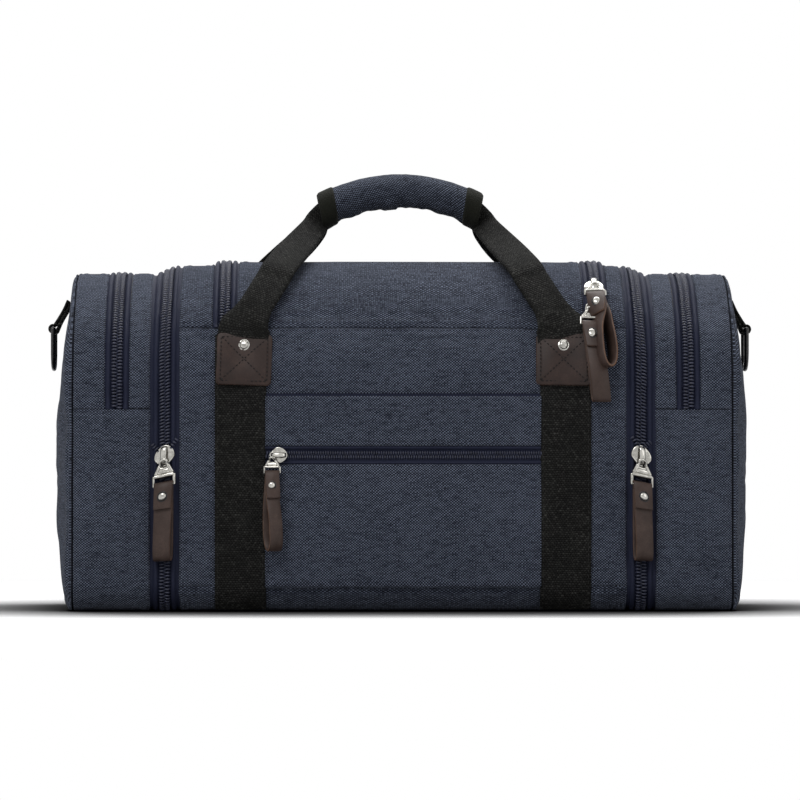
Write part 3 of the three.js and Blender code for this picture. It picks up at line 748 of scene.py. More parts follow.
canvas = woven("canvas", 1.15, 1.0, CANVAS_STOPS, gap=0.85, height=0.5, bold=1.1, two_tone=0.3, slub=0.78)
canvas_ribbed = woven("canvas_ribbed", 1.6, 1.0, CANVAS_STOPS, gap=0.8, height=0.55, bold=1.1,
                      two_tone=0.25, slub=0.72)
webbing = woven("webbing", 2.3, 1.6, WEBBING_STOPS, gap=1.15, height=0.8, stagger=0.5, sheen=0.0, bold=1.1,
                rough=0.8, shine=0.08)
tape = woven("zip_tape", 0.5, 0.6, TAPE_STOPS, gap=0.3, height=0.12, rough=0.6, shine=0.14, sheen=0.0)
lining = woven("lining", 0.45, 0.45, LINING_STOPS, gap=0.3, height=0.1, rough=0.7, sheen=0.05)
binding = woven("binding", 0.6, 0.6, BINDING_STOPS, gap=0.4, height=0.15, sheen=0.05)
brown = leather("leather", (27, 17, 14), (42, 29, 25), (62, 47, 41), rough=0.5)
loop_leather = leather("loop_leather", (48, 36, 31), (62, 49, 44), (80, 65, 59), rough=0.48)
cut_edge = leather("leather_edge", (70, 50, 40), (98, 74, 60), (126, 100, 82), rough=0.7)
nickel = metal("nickel", (186, 184, 178), 0.07)
dark_metal = metal("dark_metal", (62, 61, 62), 0.2)
nylon = moulded("zip_nylon", (15, 17, 31), (46, 51, 75), 0.4)
thread = moulded("thread_navy", (44, 49, 64), (88, 95, 113), 0.8, 0.5, 0.1)
thread_brown = moulded("thread_brown", (10, 5, 4), (24, 13, 11), 0.85, 0.5, 0.1)
thread_black = moulded("thread_black", (14, 14, 12), (34, 34, 31), 0.8, 0.5, 0.1)
board = moulded("stiffener", (30, 30, 32), (46, 46, 49), 0.75, 2.5, 0.2)

grip_canvas = woven("grip_canvas", 1.25, 1.1, GRIP_STOPS, gap=0.9, height=0.6, bold=1.1, two_tone=0.3,
                    slub=0.8)

CLOTH = [canvas, lining, canvas]
RIBBED = [canvas_ribbed, lining, canvas_ribbed]


# ---------------------------------------------------------------- the fabric's simulated swell


SIM_REACH = SEAM_X + 90  # how far along the bag the simulated skin goes
SIM_COLUMNS, SIM_ROWS = 97, 145
SIM_FRAMES = 20
SIM_LIMIT, SIM_SETTLE = 2.4, 0.8  # the most a point rises, and how far the whole skin settles


def sewn(u, s):
    """The points of the simulated skin that seams, zips and webbing hold in place."""
    a = np.abs(u)
    _, z = MIDDLE.point(s)
    held = np.zeros_like(u, bool)
    for line in (BODY_X, GIRTH_X, GUSSET_X, POCKET_IN, POCKET_OUT, SEAM_X):
        held |= (np.abs(a - line) < 4.2) & ((line not in (POCKET_IN, POCKET_OUT)) | (z > FLAP_Z))
    held |= np.abs(np.abs(u - LID_X) - LID_HALF - 6) < (z > SEAM_Z) * 5.0
    held |= (np.abs(s - up(SLIT_Z)) < 5) & (a < POCKET_HALF + 12)
    held |= (z < 12) | (a > SIM_REACH - 6)
    held |= (np.abs(s - up(SEAM_Z)) < 4) & (a < BODY_X)
    held |= (np.abs(a - WEB_X) < 6) & (z < SEAM_Z) & (s < GIRTH / 2)
    return held


def simulate_skin():
    """Inflates a copy of the whole skin between its seams, and keeps how far each point rose."""
    us = np.linspace(-SIM_REACH, SIM_REACH, SIM_COLUMNS)
    ss = np.linspace(0, GIRTH, SIM_ROWS)
    u, s = np.meshgrid(us, ss[:-1], indexing="ij")
    start = base(u, s)
    rows, columns = u.shape
    cloth = new_object("skin_cloth", start, grid_faces(rows, columns, 0, wrap=True), [])
    group = cloth.vertex_groups.new(name="held")
    group.add(np.flatnonzero(sewn(u, s).ravel()).tolist(), 1.0, "REPLACE")
    modifier = cloth.modifiers.new("cloth", "CLOTH")
    settings = modifier.settings
    settings.quality = 4
    settings.mass = 0.35
    settings.tension_stiffness = 12
    settings.compression_stiffness = 12
    settings.shear_stiffness = 6
    settings.bending_stiffness = 1.5
    settings.vertex_group_mass = "held"
    settings.shrink_min = -0.035
    settings.use_pressure = True
    settings.uniform_pressure_force = 2.5
    settings.effector_weights.gravity = 0
    modifier.collision_settings.use_collision = False
    scene = bpy.context.scene
    modifier.point_cache.frame_start, modifier.point_cache.frame_end = 1, SIM_FRAMES
    for number in range(1, SIM_FRAMES + 1):
        scene.frame_set(number)
    shaped = cloth.evaluated_get(bpy.context.evaluated_depsgraph_get())
    moved = np.zeros(rows * columns * 3, np.float32)
    shaped.data.vertices.foreach_get("co", moved)
    rise = ((moved.reshape(rows, columns, 3) / MM - start) * base_normal(u, s)).sum(-1)
    scene.frame_set(1)
    bpy.data.objects.remove(cloth)
    rise = np.tanh(rise / 5.0) * SIM_LIMIT - SIM_SETTLE
    rise = np.concatenate([rise, rise[:, :1]], 1)
    return us, ss, rise


field = simulate_skin()


# ---------------------------------------------------------------- helpers for placing pieces


def settle(piece, body, slot_name, *nodes):
    """Gives a finished piece its body and hides the CAD nodes it stands for. slot_name is not used."""
    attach(piece, body)
    if nodes:
        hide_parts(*nodes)
    return piece


def settle_blend(piece, body_a, body_b, start, end, slot_name, *nodes):
    """For a piece that spans two bodies: bakes its placement into its points and hides the CAD nodes it
    stands for. body_a, body_b, start, end and slot_name are not used.
    """
    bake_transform(piece)
    if nodes:
        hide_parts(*nodes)
    return piece


FOLD_TANGENT = np.array([0, TOP_RADIUS - 15, 50.0])
FOLD_TANGENT = FOLD_TANGENT / np.linalg.norm(FOLD_TANGENT)


def with_lid(piece, slot_name, *nodes):
    """A piece that crosses the lid's fold."""
    start, end = FOLD - FOLD_TANGENT * 7, FOLD + FOLD_TANGENT * 7
    return settle_blend(piece, "bag", "lid", start, end, slot_name, *nodes)


# ---------------------------------------------------------------- stitches


STITCH = [  # share of its length, thickness, height
    (0.0, 0.3, -0.45),
    (0.18, 0.85, 0.0),
    (0.5, 1.0, 0.12),
    (0.82, 0.85, 0.0),
    (1.0, 0.3, -0.45),
]
STITCH_LIFT = 0.1
STITCH_SIDES = 6


def stitches(name, runs, material, length=2.9, gap=1.1, radius=0.34):
    """Short raised threads along runs of (u, s) points with a lift each."""
    points, faces = [], []
    ring = circle(STITCH_SIDES)
    loops = ring_faces(len(STITCH), STITCH_SIDES)
    loops += [face[::-1] for face in end_faces(len(STITCH), STITCH_SIDES)]
    for run_points, run_lift in runs:
        run = Run(run_points)
        count = int(run.length // (length + gap))
        if count < 1:
            continue
        pitch = run.length / count
        begin = np.arange(count) * pitch + gap / 2
        here = [run.at(begin + part * (pitch - gap)) for part, _, _ in STITCH]
        along = here[-1] - here[0]
        along /= np.linalg.norm(along, axis=1, keepdims=True)
        side_on = np.stack([-along[:, 1], along[:, 0]], -1)
        for k in range(count):
            first = len(points)
            for (_, grow, high), centre in zip(STITCH, here):
                for c, q in ring:
                    where = centre[k] + side_on[k] * c * radius * grow
                    points.append((*where, run_lift + STITCH_LIFT + high + q * radius * grow))
            faces += [[first + i for i in loop] for loop in loops]
    return new_object(name, skin(*np.array(points).T), faces, [material])


def straight(u0, s0, u1, s1, count=60):
    """Evenly spaced points from one (u, s) to another."""
    t = np.linspace(0, 1, count)[:, None]
    return np.array([u0, s0]) * (1 - t) + np.array([u1, s1]) * t


# ---------------------------------------------------------------- body panels

s_seam, s_bottom = up(SEAM_Z), up(BOTTOM_Z)
s_back_seam, s_back_bottom = down(SEAM_Z), down(BOTTOM_Z)
S_BACK_ZIP = down(corners("back_panel")[1][2])  # the zip's run along the back
GAP = 0.15

settle(
    panel("bottom_shell", -BODY_X + GAP, BODY_X - GAP, -s_bottom, s_bottom, RIBBED, turned="lr"),
    "bag", "canvas", "bottom_panel",
)
settle(
    panel("front_shell", -BODY_X + GAP, BODY_X - GAP, s_bottom + GAP, s_seam - GAP, CLOTH,
          stitched="lrt", turned="lr", step=FINE_GRID),
    "bag", "canvas", "front_panel",
)
settle(
    panel("back_shell", -BODY_X + GAP, BODY_X - GAP, s_back_seam + GAP, s_back_bottom - GAP, CLOTH,
          stitched="lrb", turned="lr"),
    "bag", "canvas",
)
backstrip = panel("back_yoke", LID_X - TOP_ZIP, LID_X + TOP_ZIP, S_BACK_ZIP + 9, s_back_seam - GAP, RIBBED,
                  turned="b")
settle(backstrip, "bag", "canvas", "back_panel")
for name, u0, u1 in [
    ("left", -BODY_X + GAP, LID_X - TOP_ZIP - GAP),
    ("right", LID_X + TOP_ZIP + GAP, BODY_X - GAP),
]:
    border = panel(f"top_border_{name}_shell", u0, u1, s_seam + GAP, s_back_seam - GAP, RIBBED, turned="lr",
                   step=FINE_GRID)
    settle(border, "bag", "canvas", f"top_border_{name}")
with_lid(
    panel("lid_shell", LID_X - LID_HALF, LID_X + LID_HALF, s_seam + GAP, S_BACK_ZIP - 9, RIBBED,
          turned="lrt", step=FINE_GRID),
    "canvas", "lid_panel",
)

# ---------------------------------------------------------------- end panels


def end_cap(name, side):
    """The domed end in one piece of canvas, sewn to the gusset all round."""
    out = [0, 0.35, 0.8, 1.4, 2.0, 2.6, 3.4, 4.6, 6.2, 8.4, 11, 14, 18, 22]
    reach = np.array([*out, *np.arange(27, CAP_REACH - 6, 5.0), CAP_REACH - 3])
    ss = np.linspace(0, GIRTH, 240, endpoint=False)
    u, s = np.meshgrid(side * (SEAM_X + GAP + reach), ss, indexing="ij")
    e = np.broadcast_to(reach[:, None], u.shape)
    height = seam_profile(e, True, False) + 0.25 * np.exp(-e / 5) * noise(u / 4, s / 4.7, 5)
    outer, inner = skin(u, s, height), skin(u, s, np.minimum(height, 0) - WALL)
    rows, columns = u.shape
    n = rows * columns
    flip = side < 0
    faces = grid_faces(rows, columns, 0, True, flip) + grid_faces(rows, columns, n, True, not flip)
    indices = [0] * (len(faces) // 2) + [1] * (len(faces) // 2)
    for j in range(columns):
        quad = [j, (j + 1) % columns, (j + 1) % columns + n, j + n]
        faces.append(quad[::-1] if side > 0 else quad)
        indices.append(0)
    last = (rows - 1) * columns
    points = np.concatenate([outer.reshape(-1, 3), inner.reshape(-1, 3)])
    middle_out, middle_in = outer[-1].mean(0), inner[-1].mean(0)
    points = np.concatenate([points, [middle_out, middle_in]])
    for j in range(columns):
        k = (j + 1) % columns
        tri = [last + j, 2 * n, last + k]
        lower = [n + last + j, 2 * n + 1, n + last + k]
        faces.append(tri[::-1] if flip else tri)
        faces.append(lower if flip else lower[::-1])
        indices += [0, 1]
    uv = points[:, 1:3].copy()
    return new_object(name, points, faces, CLOTH, uv, indices)


s_flap = end_up(FLAP_Z)
for name, side in (("left", -1), ("right", 1)):
    body, flap = f"{name}_end", f"{name}_flap"
    facing = "l" if side > 0 else "r"
    low_s, high_s = s_flap + GAP, GIRTH - s_flap - GAP
    u0, u1 = on_side(side, GUSSET_X + GAP, SEAM_X - GAP)
    lower = panel(f"{name}_gusset_shell", u0, u1, -s_flap + GAP, s_flap - GAP, CLOTH, turned=facing,
                  step=FINE_GRID)
    settle(lower, body, "canvas", f"{name}_end_gusset")
    u0, u1 = on_side(side, GUSSET_X + GAP, POCKET_IN - GAP)
    inner = panel(f"{name}_gusset_arch", u0, u1, low_s, high_s, CLOTH, step=FINE_GRID)
    settle(inner, body, "canvas")
    u0, u1 = on_side(side, POCKET_OUT + GAP, SEAM_X - GAP)
    outer = panel(f"{name}_flap_arch", u0, u1, low_s, high_s, CLOTH, turned=facing, step=FINE_GRID)
    settle(outer, flap, "canvas")
    hinge = np.array([side * END_X, 0, FLAP_Z])
    drop = np.array([0, 0, 9.0])
    cap = end_cap(f"{name}_end_cap", side)
    settle_blend(cap, body, flap, hinge - drop, hinge + drop, "canvas",
                 f"{name}_end_panel", f"{name}_end_flap")


def seam_binding(name, side, s0, s1, body):
    """The strip sewn over the raw edges inside an end seam."""
    ss = np.linspace(s0, s1, 2 + int((s1 - s0) / 5))
    u, s = np.meshgrid(side * (SEAM_X + np.linspace(-5, 5, 7)), ss, indexing="ij")
    depth = -WALL - 1.2 - 0.4 * np.cos((np.abs(u) - SEAM_X) / 5 * math.pi / 2)
    strip = slab(name, skin(u, s, depth), skin(u, s, depth - 0.8), [tape, tape], np.stack([u, s], -1))
    settle(strip, body, "tape")


for name, side in (("left", -1), ("right", 1)):
    seam_binding(f"{name}_seam_binding_low", side, -s_flap + 4, s_flap - 4, f"{name}_end")
    seam_binding(f"{name}_seam_binding_high", side, s_flap + 1, GIRTH - s_flap - 1, f"{name}_flap")

# ---------------------------------------------------------------- zips

TOOTH_PITCH = 2.5
TOOTH_SIDES = 6
TOOTH = [  # distance from the middle of the chain, half length along it, height, half height
    (-0.7, 0.45, 0.6, 0.45),
    (0.5, 0.7, 0.95, 0.7),
    (2.1, 0.86, 1.7, 0.9),
    (3.6, 0.8, 1.25, 0.85),
    (4.2, 0.45, 0.2, 0.35),
]


def teeth(name, path, side, offset=0.0, scale=1.0):
    """One row of a coil zip beside its middle line, a path of (u, s) points."""
    run = Run(path)
    count = int(run.length / (TOOTH_PITCH * scale))
    where = (np.arange(count) + 0.5 + offset) * run.length / count
    centre = run.at(where)
    along = run.at(where + 0.6) - run.at(where - 0.6)
    along /= np.linalg.norm(along, axis=1, keepdims=True)
    away = side * np.stack([-along[:, 1], along[:, 0]], -1)
    ring = circle(TOOTH_SIDES)
    local = np.array([
        (d * scale, half * scale * c, high * scale + tall * scale * q)
        for d, half, high, tall in TOOTH for c, q in ring
    ])
    u = centre[:, None, 0] + away[:, None, 0] * local[:, 0] + along[:, None, 0] * local[:, 1]
    s = centre[:, None, 1] + away[:, None, 1] * local[:, 0] + along[:, None, 1] * local[:, 1]
    points = skin(u, s, np.broadcast_to(local[:, 2], u.shape) + ZIP_DEEP * 0.6)
    shape = ring_faces(len(TOOTH), TOOTH_SIDES)
    shape += [face[::-1] for face in end_faces(len(TOOTH), TOOTH_SIDES)]
    if side > 0:
        shape = [face[::-1] for face in shape]
    faces = [[i + len(local) * k for i in face] for k in range(count) for face in shape]
    return new_object(name, points, faces, [nylon])


LIP_AT, LIP_HALF, LIP_HIGH = 6.6, 1.9, 2.3
TAPE_THICK = 0.7


def tape_slab(name, u, s, height, wrap=False):
    """A thin strip of zip tape over a grid of the skin."""
    outer, inner = skin(u, s, height), skin(u, s, height - TAPE_THICK)
    return slab(name, outer, inner, [tape, tape], np.stack([u, s], -1), wrap)


def tape_strip(name, u0, u1, s0, s1, centre, wrap=False, along_u=False):
    """Half of a zip's tape, with the rolled satin lip that runs beside the coil."""
    us = np.linspace(u0, u1, 2 + int(abs(u1 - u0) / (0.6 if not along_u else 4)))
    ss = np.linspace(s0, s1, 2 + int(abs(s1 - s0) / (4 if not along_u else 0.6)))
    if wrap:
        ss = ss[:-1]
    u, s = np.meshgrid(us, ss, indexing="ij")
    e = np.abs((s if along_u else u) - centre)
    lip = np.clip(1 - ((e - LIP_AT) / LIP_HALF) ** 2, 0, 1) ** 0.5
    height = ZIP_DEEP + LIP_HIGH * lip + 0.3 * noise(u / 6, s / 11, 6) * smooth(e, 3, 6)
    height -= 0.5 * (1 - smooth(e, 0.0, 1.2))
    return tape_slab(name, u, s, height, wrap)


for name, side in (("left", -1), ("right", 1)):
    body, flap = f"{name}_end", f"{name}_flap"
    x = side * GIRTH_X
    whole = straight(x, 0, x, GIRTH, 240)
    strip = tape_strip(f"{name}_girth_tape_in", side * (BODY_X - 1.5), x, 0, GIRTH, x, wrap=True)
    settle(strip, "bag", "tape", f"{name}_girth_zip_tape_inner")
    strip = tape_strip(f"{name}_girth_tape_out", x, side * (GUSSET_X + 1.5), 0, GIRTH, x, wrap=True)
    settle(strip, body, "tape", f"{name}_girth_zip_tape_outer")
    settle(teeth(f"{name}_girth_coil_in", whole, side), "bag", "tape")
    settle(teeth(f"{name}_girth_coil_out", whole, -side, offset=0.5), body, "tape")
    x = side * POCKET_X
    arch = straight(x, s_flap, x, GIRTH - s_flap, 200)
    strip = tape_strip(f"{name}_pocket_tape_in", side * (POCKET_IN - 1.5), x, s_flap, GIRTH - s_flap, x)
    settle(strip, body, "tape", f"{name}_pocket_zip_tape_inner")
    strip = tape_strip(f"{name}_pocket_tape_out", x, side * (POCKET_OUT + 1.5), s_flap, GIRTH - s_flap, x)
    settle(strip, flap, "tape", f"{name}_pocket_zip_tape_outer")
    settle(teeth(f"{name}_pocket_coil_in", arch, side), body, "tape")
    settle(teeth(f"{name}_pocket_coil_out", arch, -side, offset=0.5), flap, "tape")

CORNER = 9.0  # radius of the top zip's corners


def top_path():
    """Middle line of the top zip: up the left, along the back and down the right."""
    left, right = LID_X - TOP_RUN, LID_X + TOP_RUN
    turns = np.linspace(0, math.pi / 2, 9)
    first = [(left + CORNER * (1 - math.cos(t)), S_BACK_ZIP - CORNER * (1 - math.sin(t))) for t in turns]
    second = [(right - CORNER * (1 - math.cos(t)), S_BACK_ZIP - CORNER * (1 - math.sin(t))) for t in turns]
    return np.array([(left, s_seam), *first, *second[::-1], (right, s_seam)])


path = top_path()
settle(teeth("top_coil_outer", path, 1), "bag", "tape")
with_lid(teeth("top_coil_inner", path, -1, offset=0.5), "tape")
outer_left, outer_right = LID_X - TOP_ZIP - 1.5, LID_X + TOP_ZIP + 1.5
tape_nodes = ["top_zip_tape_outer"]
for name, u0, u1, s0, s1, centre, across in [
    ("left", outer_left, LID_X - TOP_RUN, s_seam, S_BACK_ZIP + 9, LID_X - TOP_RUN, False),
    ("right", LID_X + TOP_RUN, outer_right, s_seam, S_BACK_ZIP + 9, LID_X + TOP_RUN, False),
    ("back", LID_X - TOP_RUN, LID_X + TOP_RUN, S_BACK_ZIP, S_BACK_ZIP + 10, S_BACK_ZIP, True),
]:
    strip = tape_strip(f"top_tape_outer_{name}", u0, u1, s0, s1, centre, along_u=across)
    settle(strip, "bag", "tape", *tape_nodes)
    tape_nodes = []
tape_nodes = ["top_zip_tape_inner"]
inner_left, inner_right = LID_X - LID_HALF + 1.5, LID_X + LID_HALF - 1.5
for name, u0, u1, s0, s1, centre, across in [
    ("left", LID_X - TOP_RUN, inner_left, s_seam, S_BACK_ZIP, LID_X - TOP_RUN, False),
    ("right", inner_right, LID_X + TOP_RUN, s_seam, S_BACK_ZIP, LID_X + TOP_RUN, False),
    ("back", inner_left, inner_right, S_BACK_ZIP - 10, S_BACK_ZIP, S_BACK_ZIP, True),
]:
    strip = tape_strip(f"top_tape_inner_{name}", u0, u1, s0, s1, centre, along_u=across)
    with_lid(strip, "tape", *tape_nodes)
    tape_nodes = []

# ---------------------------------------------------------------- front pocket

s_slit = up(SLIT_Z)
POCKET_LIFT = 3.0
SLIT_HALF = 6.4
p0, p1 = -POCKET_HALF - 1.0, POCKET_HALF + 1.0
lower = panel("front_pocket_lower", p0, p1, up(POCKET_LOW), s_slit - SLIT_HALF, CLOTH, "bt",
              POCKET_LIFT, 1.8, "t", step=3.2)
settle(lower, "bag", "canvas", "front_pocket_panel")
upper = panel("front_pocket_upper", p0, p1, s_slit + SLIT_HALF, up(POCKET_HIGH), CLOTH, "bt",
              POCKET_LIFT, 1.8, "b", step=3.2)
settle(upper, "bag", "canvas")
# A dark strip of zip tape just above the pocket's top edge: painted shade, a dark line standing in for the
# shadow in the gap above that edge.
edge_s = up(POCKET_HIGH) + np.linspace(0.0, 1.9, 5)
edge = np.meshgrid(np.linspace(p0, p1, 60), edge_s, indexing="ij")
pocket_shade_strip = slab("front_pocket_shade_strip", skin(*edge, 1.5), skin(*edge, 0.7), [tape, tape], np.stack(edge, -1))
settle(pocket_shade_strip, "bag", "tape")
slit_nodes = ["front_pocket_zip"]
for name, s0, s1 in [("low", s_slit - SLIT_HALF - 1.5, s_slit), ("high", s_slit, s_slit + SLIT_HALF + 1.5)]:
    us, ss = np.linspace(p0, p1, 60), np.linspace(s0, s1, 20)
    u, s = np.meshgrid(us, ss, indexing="ij")
    away = np.abs(s - s_slit)
    height = POCKET_LIFT - 1.4 + 1.5 * np.clip(1 - ((away - 5.4) / 1.3) ** 2, 0, 1) ** 0.5
    settle(tape_slab(f"front_pocket_tape_{name}", u, s, height), "bag", "tape", *slit_nodes)
    slit_nodes = []
chain = straight(p0, s_slit, p1, s_slit, 80)


def raised(piece, lift):
    """Moves a finished piece forwards by a lift."""
    for vertex in piece.data.vertices:
        vertex.co.y -= lift * MM
    return piece


for name, side, offset in (("low", -1, 0.0), ("high", 1, 0.5)):
    row = teeth(f"front_pocket_coil_{name}", chain, side, offset=offset, scale=0.72)
    settle(raised(row, POCKET_LIFT - 0.9), "bag", "tape")

# ---------------------------------------------------------------- webbing and leather patches


WEB_LIFT, WEB_THICK = 0.5, 2.0


def webbing_band(name, u0, u1, path_s, node):
    """Flat webbing laid on the skin, with softly rounded edges."""
    us = np.array([u0, u0 + 0.25, u0 + 0.9, *np.linspace(u0 + 3, u1 - 3, 9), u1 - 0.9, u1 - 0.25, u1])
    u, s = np.meshgrid(us, path_s, indexing="ij")
    e = np.minimum(u - u0, u1 - u)
    round_off = 0.5 * WEB_THICK * np.exp(-((e / 0.5) ** 1.3))
    height = WEB_LIFT + WEB_THICK - round_off + 0.12 * noise(u / 11, s / 17, 7)
    low = WEB_LIFT + round_off
    strip = slab(name, skin(u, s, height), skin(u, s, low), [webbing], np.stack([u, s], -1))
    settle(strip, "bag", "webbing", node)


for name, side in (("left", -1), ("right", 1)):
    u0, u1 = side * WEB_X - WEB_HALF, side * WEB_X + WEB_HALF
    rise = np.linspace(up(WEB_LOW), up(PATCH_HIGH), 70)
    webbing_band(f"webbing_{name}_front", u0, u1, rise, f"webbing_front_{name}")
    webbing_band(f"webbing_{name}_back", u0, u1, GIRTH - rise[::-1], f"webbing_back_{name}")


def rounded_outline(half_u, half_s, radius, steps=6):
    """Closed outline of a rounded rectangle about the origin."""
    points = []
    for k, (su, sv) in enumerate([(1, 1), (-1, 1), (-1, -1), (1, -1)]):
        for t in np.linspace(0, math.pi / 2, steps):
            angle = t + k * math.pi / 2
            points.append((su * (half_u - radius) + radius * math.cos(angle),
                           sv * (half_s - radius) + radius * math.sin(angle)))
    return np.array(points)


def spin_of(turn):
    """The matrix that turns rows of points by an angle."""
    c, q = math.cos(turn), math.sin(turn)
    return np.array([[c, q], [-q, c]])


PATCH_LIFT = 2.6
PATCH_THICK = 2.0
PATCH_RIM = 0.8  # radius of its rounded rim
PATCH_CORNER = 3.2


def leather_patch(name, centre, outline, turn):
    """A flat piece of leather cut to an outline, with a rounded upper rim, laid on the skin."""
    spun = outline @ spin_of(turn)
    rings = [(1, 0.0, 0.0), (1, 0.0, PATCH_THICK * 0.35), (1, 0.12, PATCH_THICK * 0.75),
             (1, PATCH_RIM * 0.5, PATCH_THICK * 0.96), (1, PATCH_RIM * 1.4, PATCH_THICK)]
    size = np.abs(outline).max()
    rings += [(share, 0, PATCH_THICK) for share in (0.86, 0.68, 0.5, 0.3, 0.12)]
    points = []
    for share, inset, high in rings:
        ring = spun * (share - inset / size)
        points.append(np.column_stack([ring + centre, np.full(len(ring), PATCH_LIFT + high)]))
    count = len(outline)
    flat = np.concatenate(points + [[[*centre, PATCH_LIFT + PATCH_THICK]]])
    faces = grid_faces(len(rings), count, 0, wrap=True)
    indices = [1 if k // count < 2 else 0 for k in range(len(faces))]
    last = (len(rings) - 1) * count
    faces += [[last + j, len(flat) - 1, last + (j + 1) % count] for j in range(count)]
    faces.append(list(range(count)))
    indices += [0] * count + [1]
    faces = [f[::-1] for f in faces]
    return new_object(name, skin(*flat.T), faces, [brown, cut_edge], None, indices)


def dome_rivet(name, u, s, lift, radius, high, node):
    """A dome rivet with a flat collar."""
    profile = [(0.0, -0.6), (1.0, -0.6), (1.0, 0.12), (0.94, 0.22), (0.8, 0.24), (0.74, 0.3), (0.7, 0.55),
               (0.58, 0.78), (0.4, 0.93), (0.2, 0.99), (0.0, 1.0)]
    ring = circle(28)
    points = np.array([(u + r * radius * c, s + r * radius * q, lift + h * high)
                       for r, h in profile for c, q in ring])
    faces = grid_faces(len(profile), len(ring), 0, wrap=True, flip=True)
    piece = clean(new_object(name, skin(*points.T), faces, [nickel]))
    settle(piece, "bag", "nickel", node)


patch_mid = (up(PATCH_LOW) + up(PATCH_HIGH)) / 2
patch_half_s = (up(PATCH_HIGH) - up(PATCH_LOW)) / 2
PATCH_INSET = 3.2  # from the patch's edge to its stitches
PATCH_TURN = {"left": math.radians(-1.6), "right": math.radians(-0.8)}
PATCH_SHIFT = {"left": 2.6, "right": -1.4}

for face in ("front", "back"):
    for name, side in (("left", -1), ("right", 1)):
        patch_x = side * WEB_X + PATCH_SHIFT[name]
        centre = np.array([patch_x, patch_mid if face == "front" else GIRTH - patch_mid])
        turn = PATCH_TURN[name] if face == "front" else -PATCH_TURN[name]
        outline = rounded_outline(PATCH_HALF, patch_half_s, PATCH_CORNER)
        piece = leather_patch(f"patch_{name}_{face}", centre, outline, turn)
        settle(piece, "bag", "leather", f"patch_{face}_{name}")
        h, v = PATCH_HALF - PATCH_INSET, patch_half_s - PATCH_INSET
        box_run = np.array([(-h, -v), (h, -v), (h, v), (-h, v), (-h, -v)])
        runs = []
        for a, b in [*zip(box_run, box_run[1:]), (box_run[0], box_run[2]), (box_run[1], box_run[3])]:
            line = straight(*a, *b, 12) @ spin_of(turn) + centre
            runs.append((line, PATCH_LIFT + PATCH_THICK))
        thread_rows = stitches(f"patch_stitches_{name}_{face}", runs, thread_brown, 2.0, 0.9, 0.46)
        settle(thread_rows, "bag", "leather")
        if face == "front":
            rivet_s = up(PATCH_HIGH - 8.5)
            dome_rivet(f"rivet_{name}", patch_x, rivet_s, PATCH_LIFT + PATCH_THICK, 4.3, 2.4,
                       f"patch_rivet_{name}")

# ---------------------------------------------------------------- topstitching

body_runs = []
HEM = 3.1  # from a zip to the stitches beside it
THREAD_RADIUS = 0.3


def run_round(u, s0, s1, count=200, lift=-0.1):
    """A row of stitches round the girth."""
    return straight(u, s0, u, s1, count), lift


def run_along(u0, u1, s, count, lift):
    """A row of stitches along the bag."""
    return straight(u0, s, u1, s, count), lift


body_runs = [run_along(-BODY_X + 4, BODY_X - 4, s_row, 120, 0.05) for s_row in (s_seam - 2.8, s_seam + 3.4)]
body_runs += [run_round(side * (BODY_X - HEM), 4, GIRTH - 4, 300) for side in (-1, 1)]
body_runs.append(run_along(p0, p1, up(POCKET_HIGH) - 9, 80, POCKET_LIFT))
body_runs += [run_along(p0, p1, s_slit + offset, 80, POCKET_LIFT - 0.1)
              for offset in (-SLIT_HALF - 2.8, SLIT_HALF + 2.8)]
body_runs += [run_round(u, s_seam + 8, s_back_seam) for u in (outer_left - 1.3, outer_right + 1.3)]
settle(stitches("stitches_body", body_runs, thread, radius=THREAD_RADIUS), "bag", "canvas")
lid_runs = [run_round(LID_X + side * (LID_HALF - HEM), s_seam + 8, S_BACK_ZIP - 12) for side in (-1, 1)]
with_lid(stitches("stitches_lid", lid_runs, thread, radius=THREAD_RADIUS), "canvas")
for name, side in (("left", -1), ("right", 1)):
    arch_s = (s_flap + 3, GIRTH - s_flap - 3)
    runs = [
        run_round(side * (GUSSET_X + HEM), 4, GIRTH - 4, 300),
        run_round(side * (POCKET_IN - HEM), *arch_s),
        run_along(side * (GUSSET_X + 5), side * (SEAM_X - 2), s_flap - 2.9, 30, -0.1),
    ]
    settle(stitches(f"stitches_{name}_end", runs, thread, radius=THREAD_RADIUS), f"{name}_end", "canvas")
    runs = [run_round(side * (POCKET_OUT + HEM), *arch_s)]
    settle(stitches(f"stitches_{name}_flap", runs, thread, radius=THREAD_RADIUS), f"{name}_flap", "canvas")
for name, side in (("left", -1), ("right", 1)):
    runs = []
    for edge in (-WEB_HALF + 2.2, WEB_HALF - 2.2):
        u = side * WEB_X + edge
        runs.append(run_round(u, up(WEB_LOW), up(PATCH_LOW), 90, 2.45))
        runs.append(run_round(u, GIRTH - up(PATCH_LOW), GIRTH - up(WEB_LOW), 90, 2.45))
    settle(stitches(f"stitches_webbing_{name}", runs, thread_black, radius=0.26), "bag", "webbing")

# ---------------------------------------------------------------- bellows behind the girth zips

for name, side in (("left", -1), ("right", 1)):
    us = np.linspace(BODY_X - 1, GUSSET_X + 1, 25) * side
    ss = np.linspace(0, GIRTH, 200)[:-1]
    u, s = np.meshgrid(us, ss, indexing="ij")
    fold = np.abs(((np.abs(u) - BODY_X) / (GUSSET_X - BODY_X) * 4) % 2 - 1)
    height = -3.4 - 3.2 * fold
    strip = slab(f"{name}_bellows", skin(u, s, height), skin(u, s, height - 0.8), CLOTH,
                 np.stack([u, s], -1), wrap=True)
    start, end = np.array([side * BODY_X, 0, 0.0]), np.array([side * GUSSET_X, 0, 0.0])
    settle_blend(strip, "bag", f"{name}_end", start, end, "canvas", f"{name}_expansion_bellows")

# ---------------------------------------------------------------- metal sliders and pulls


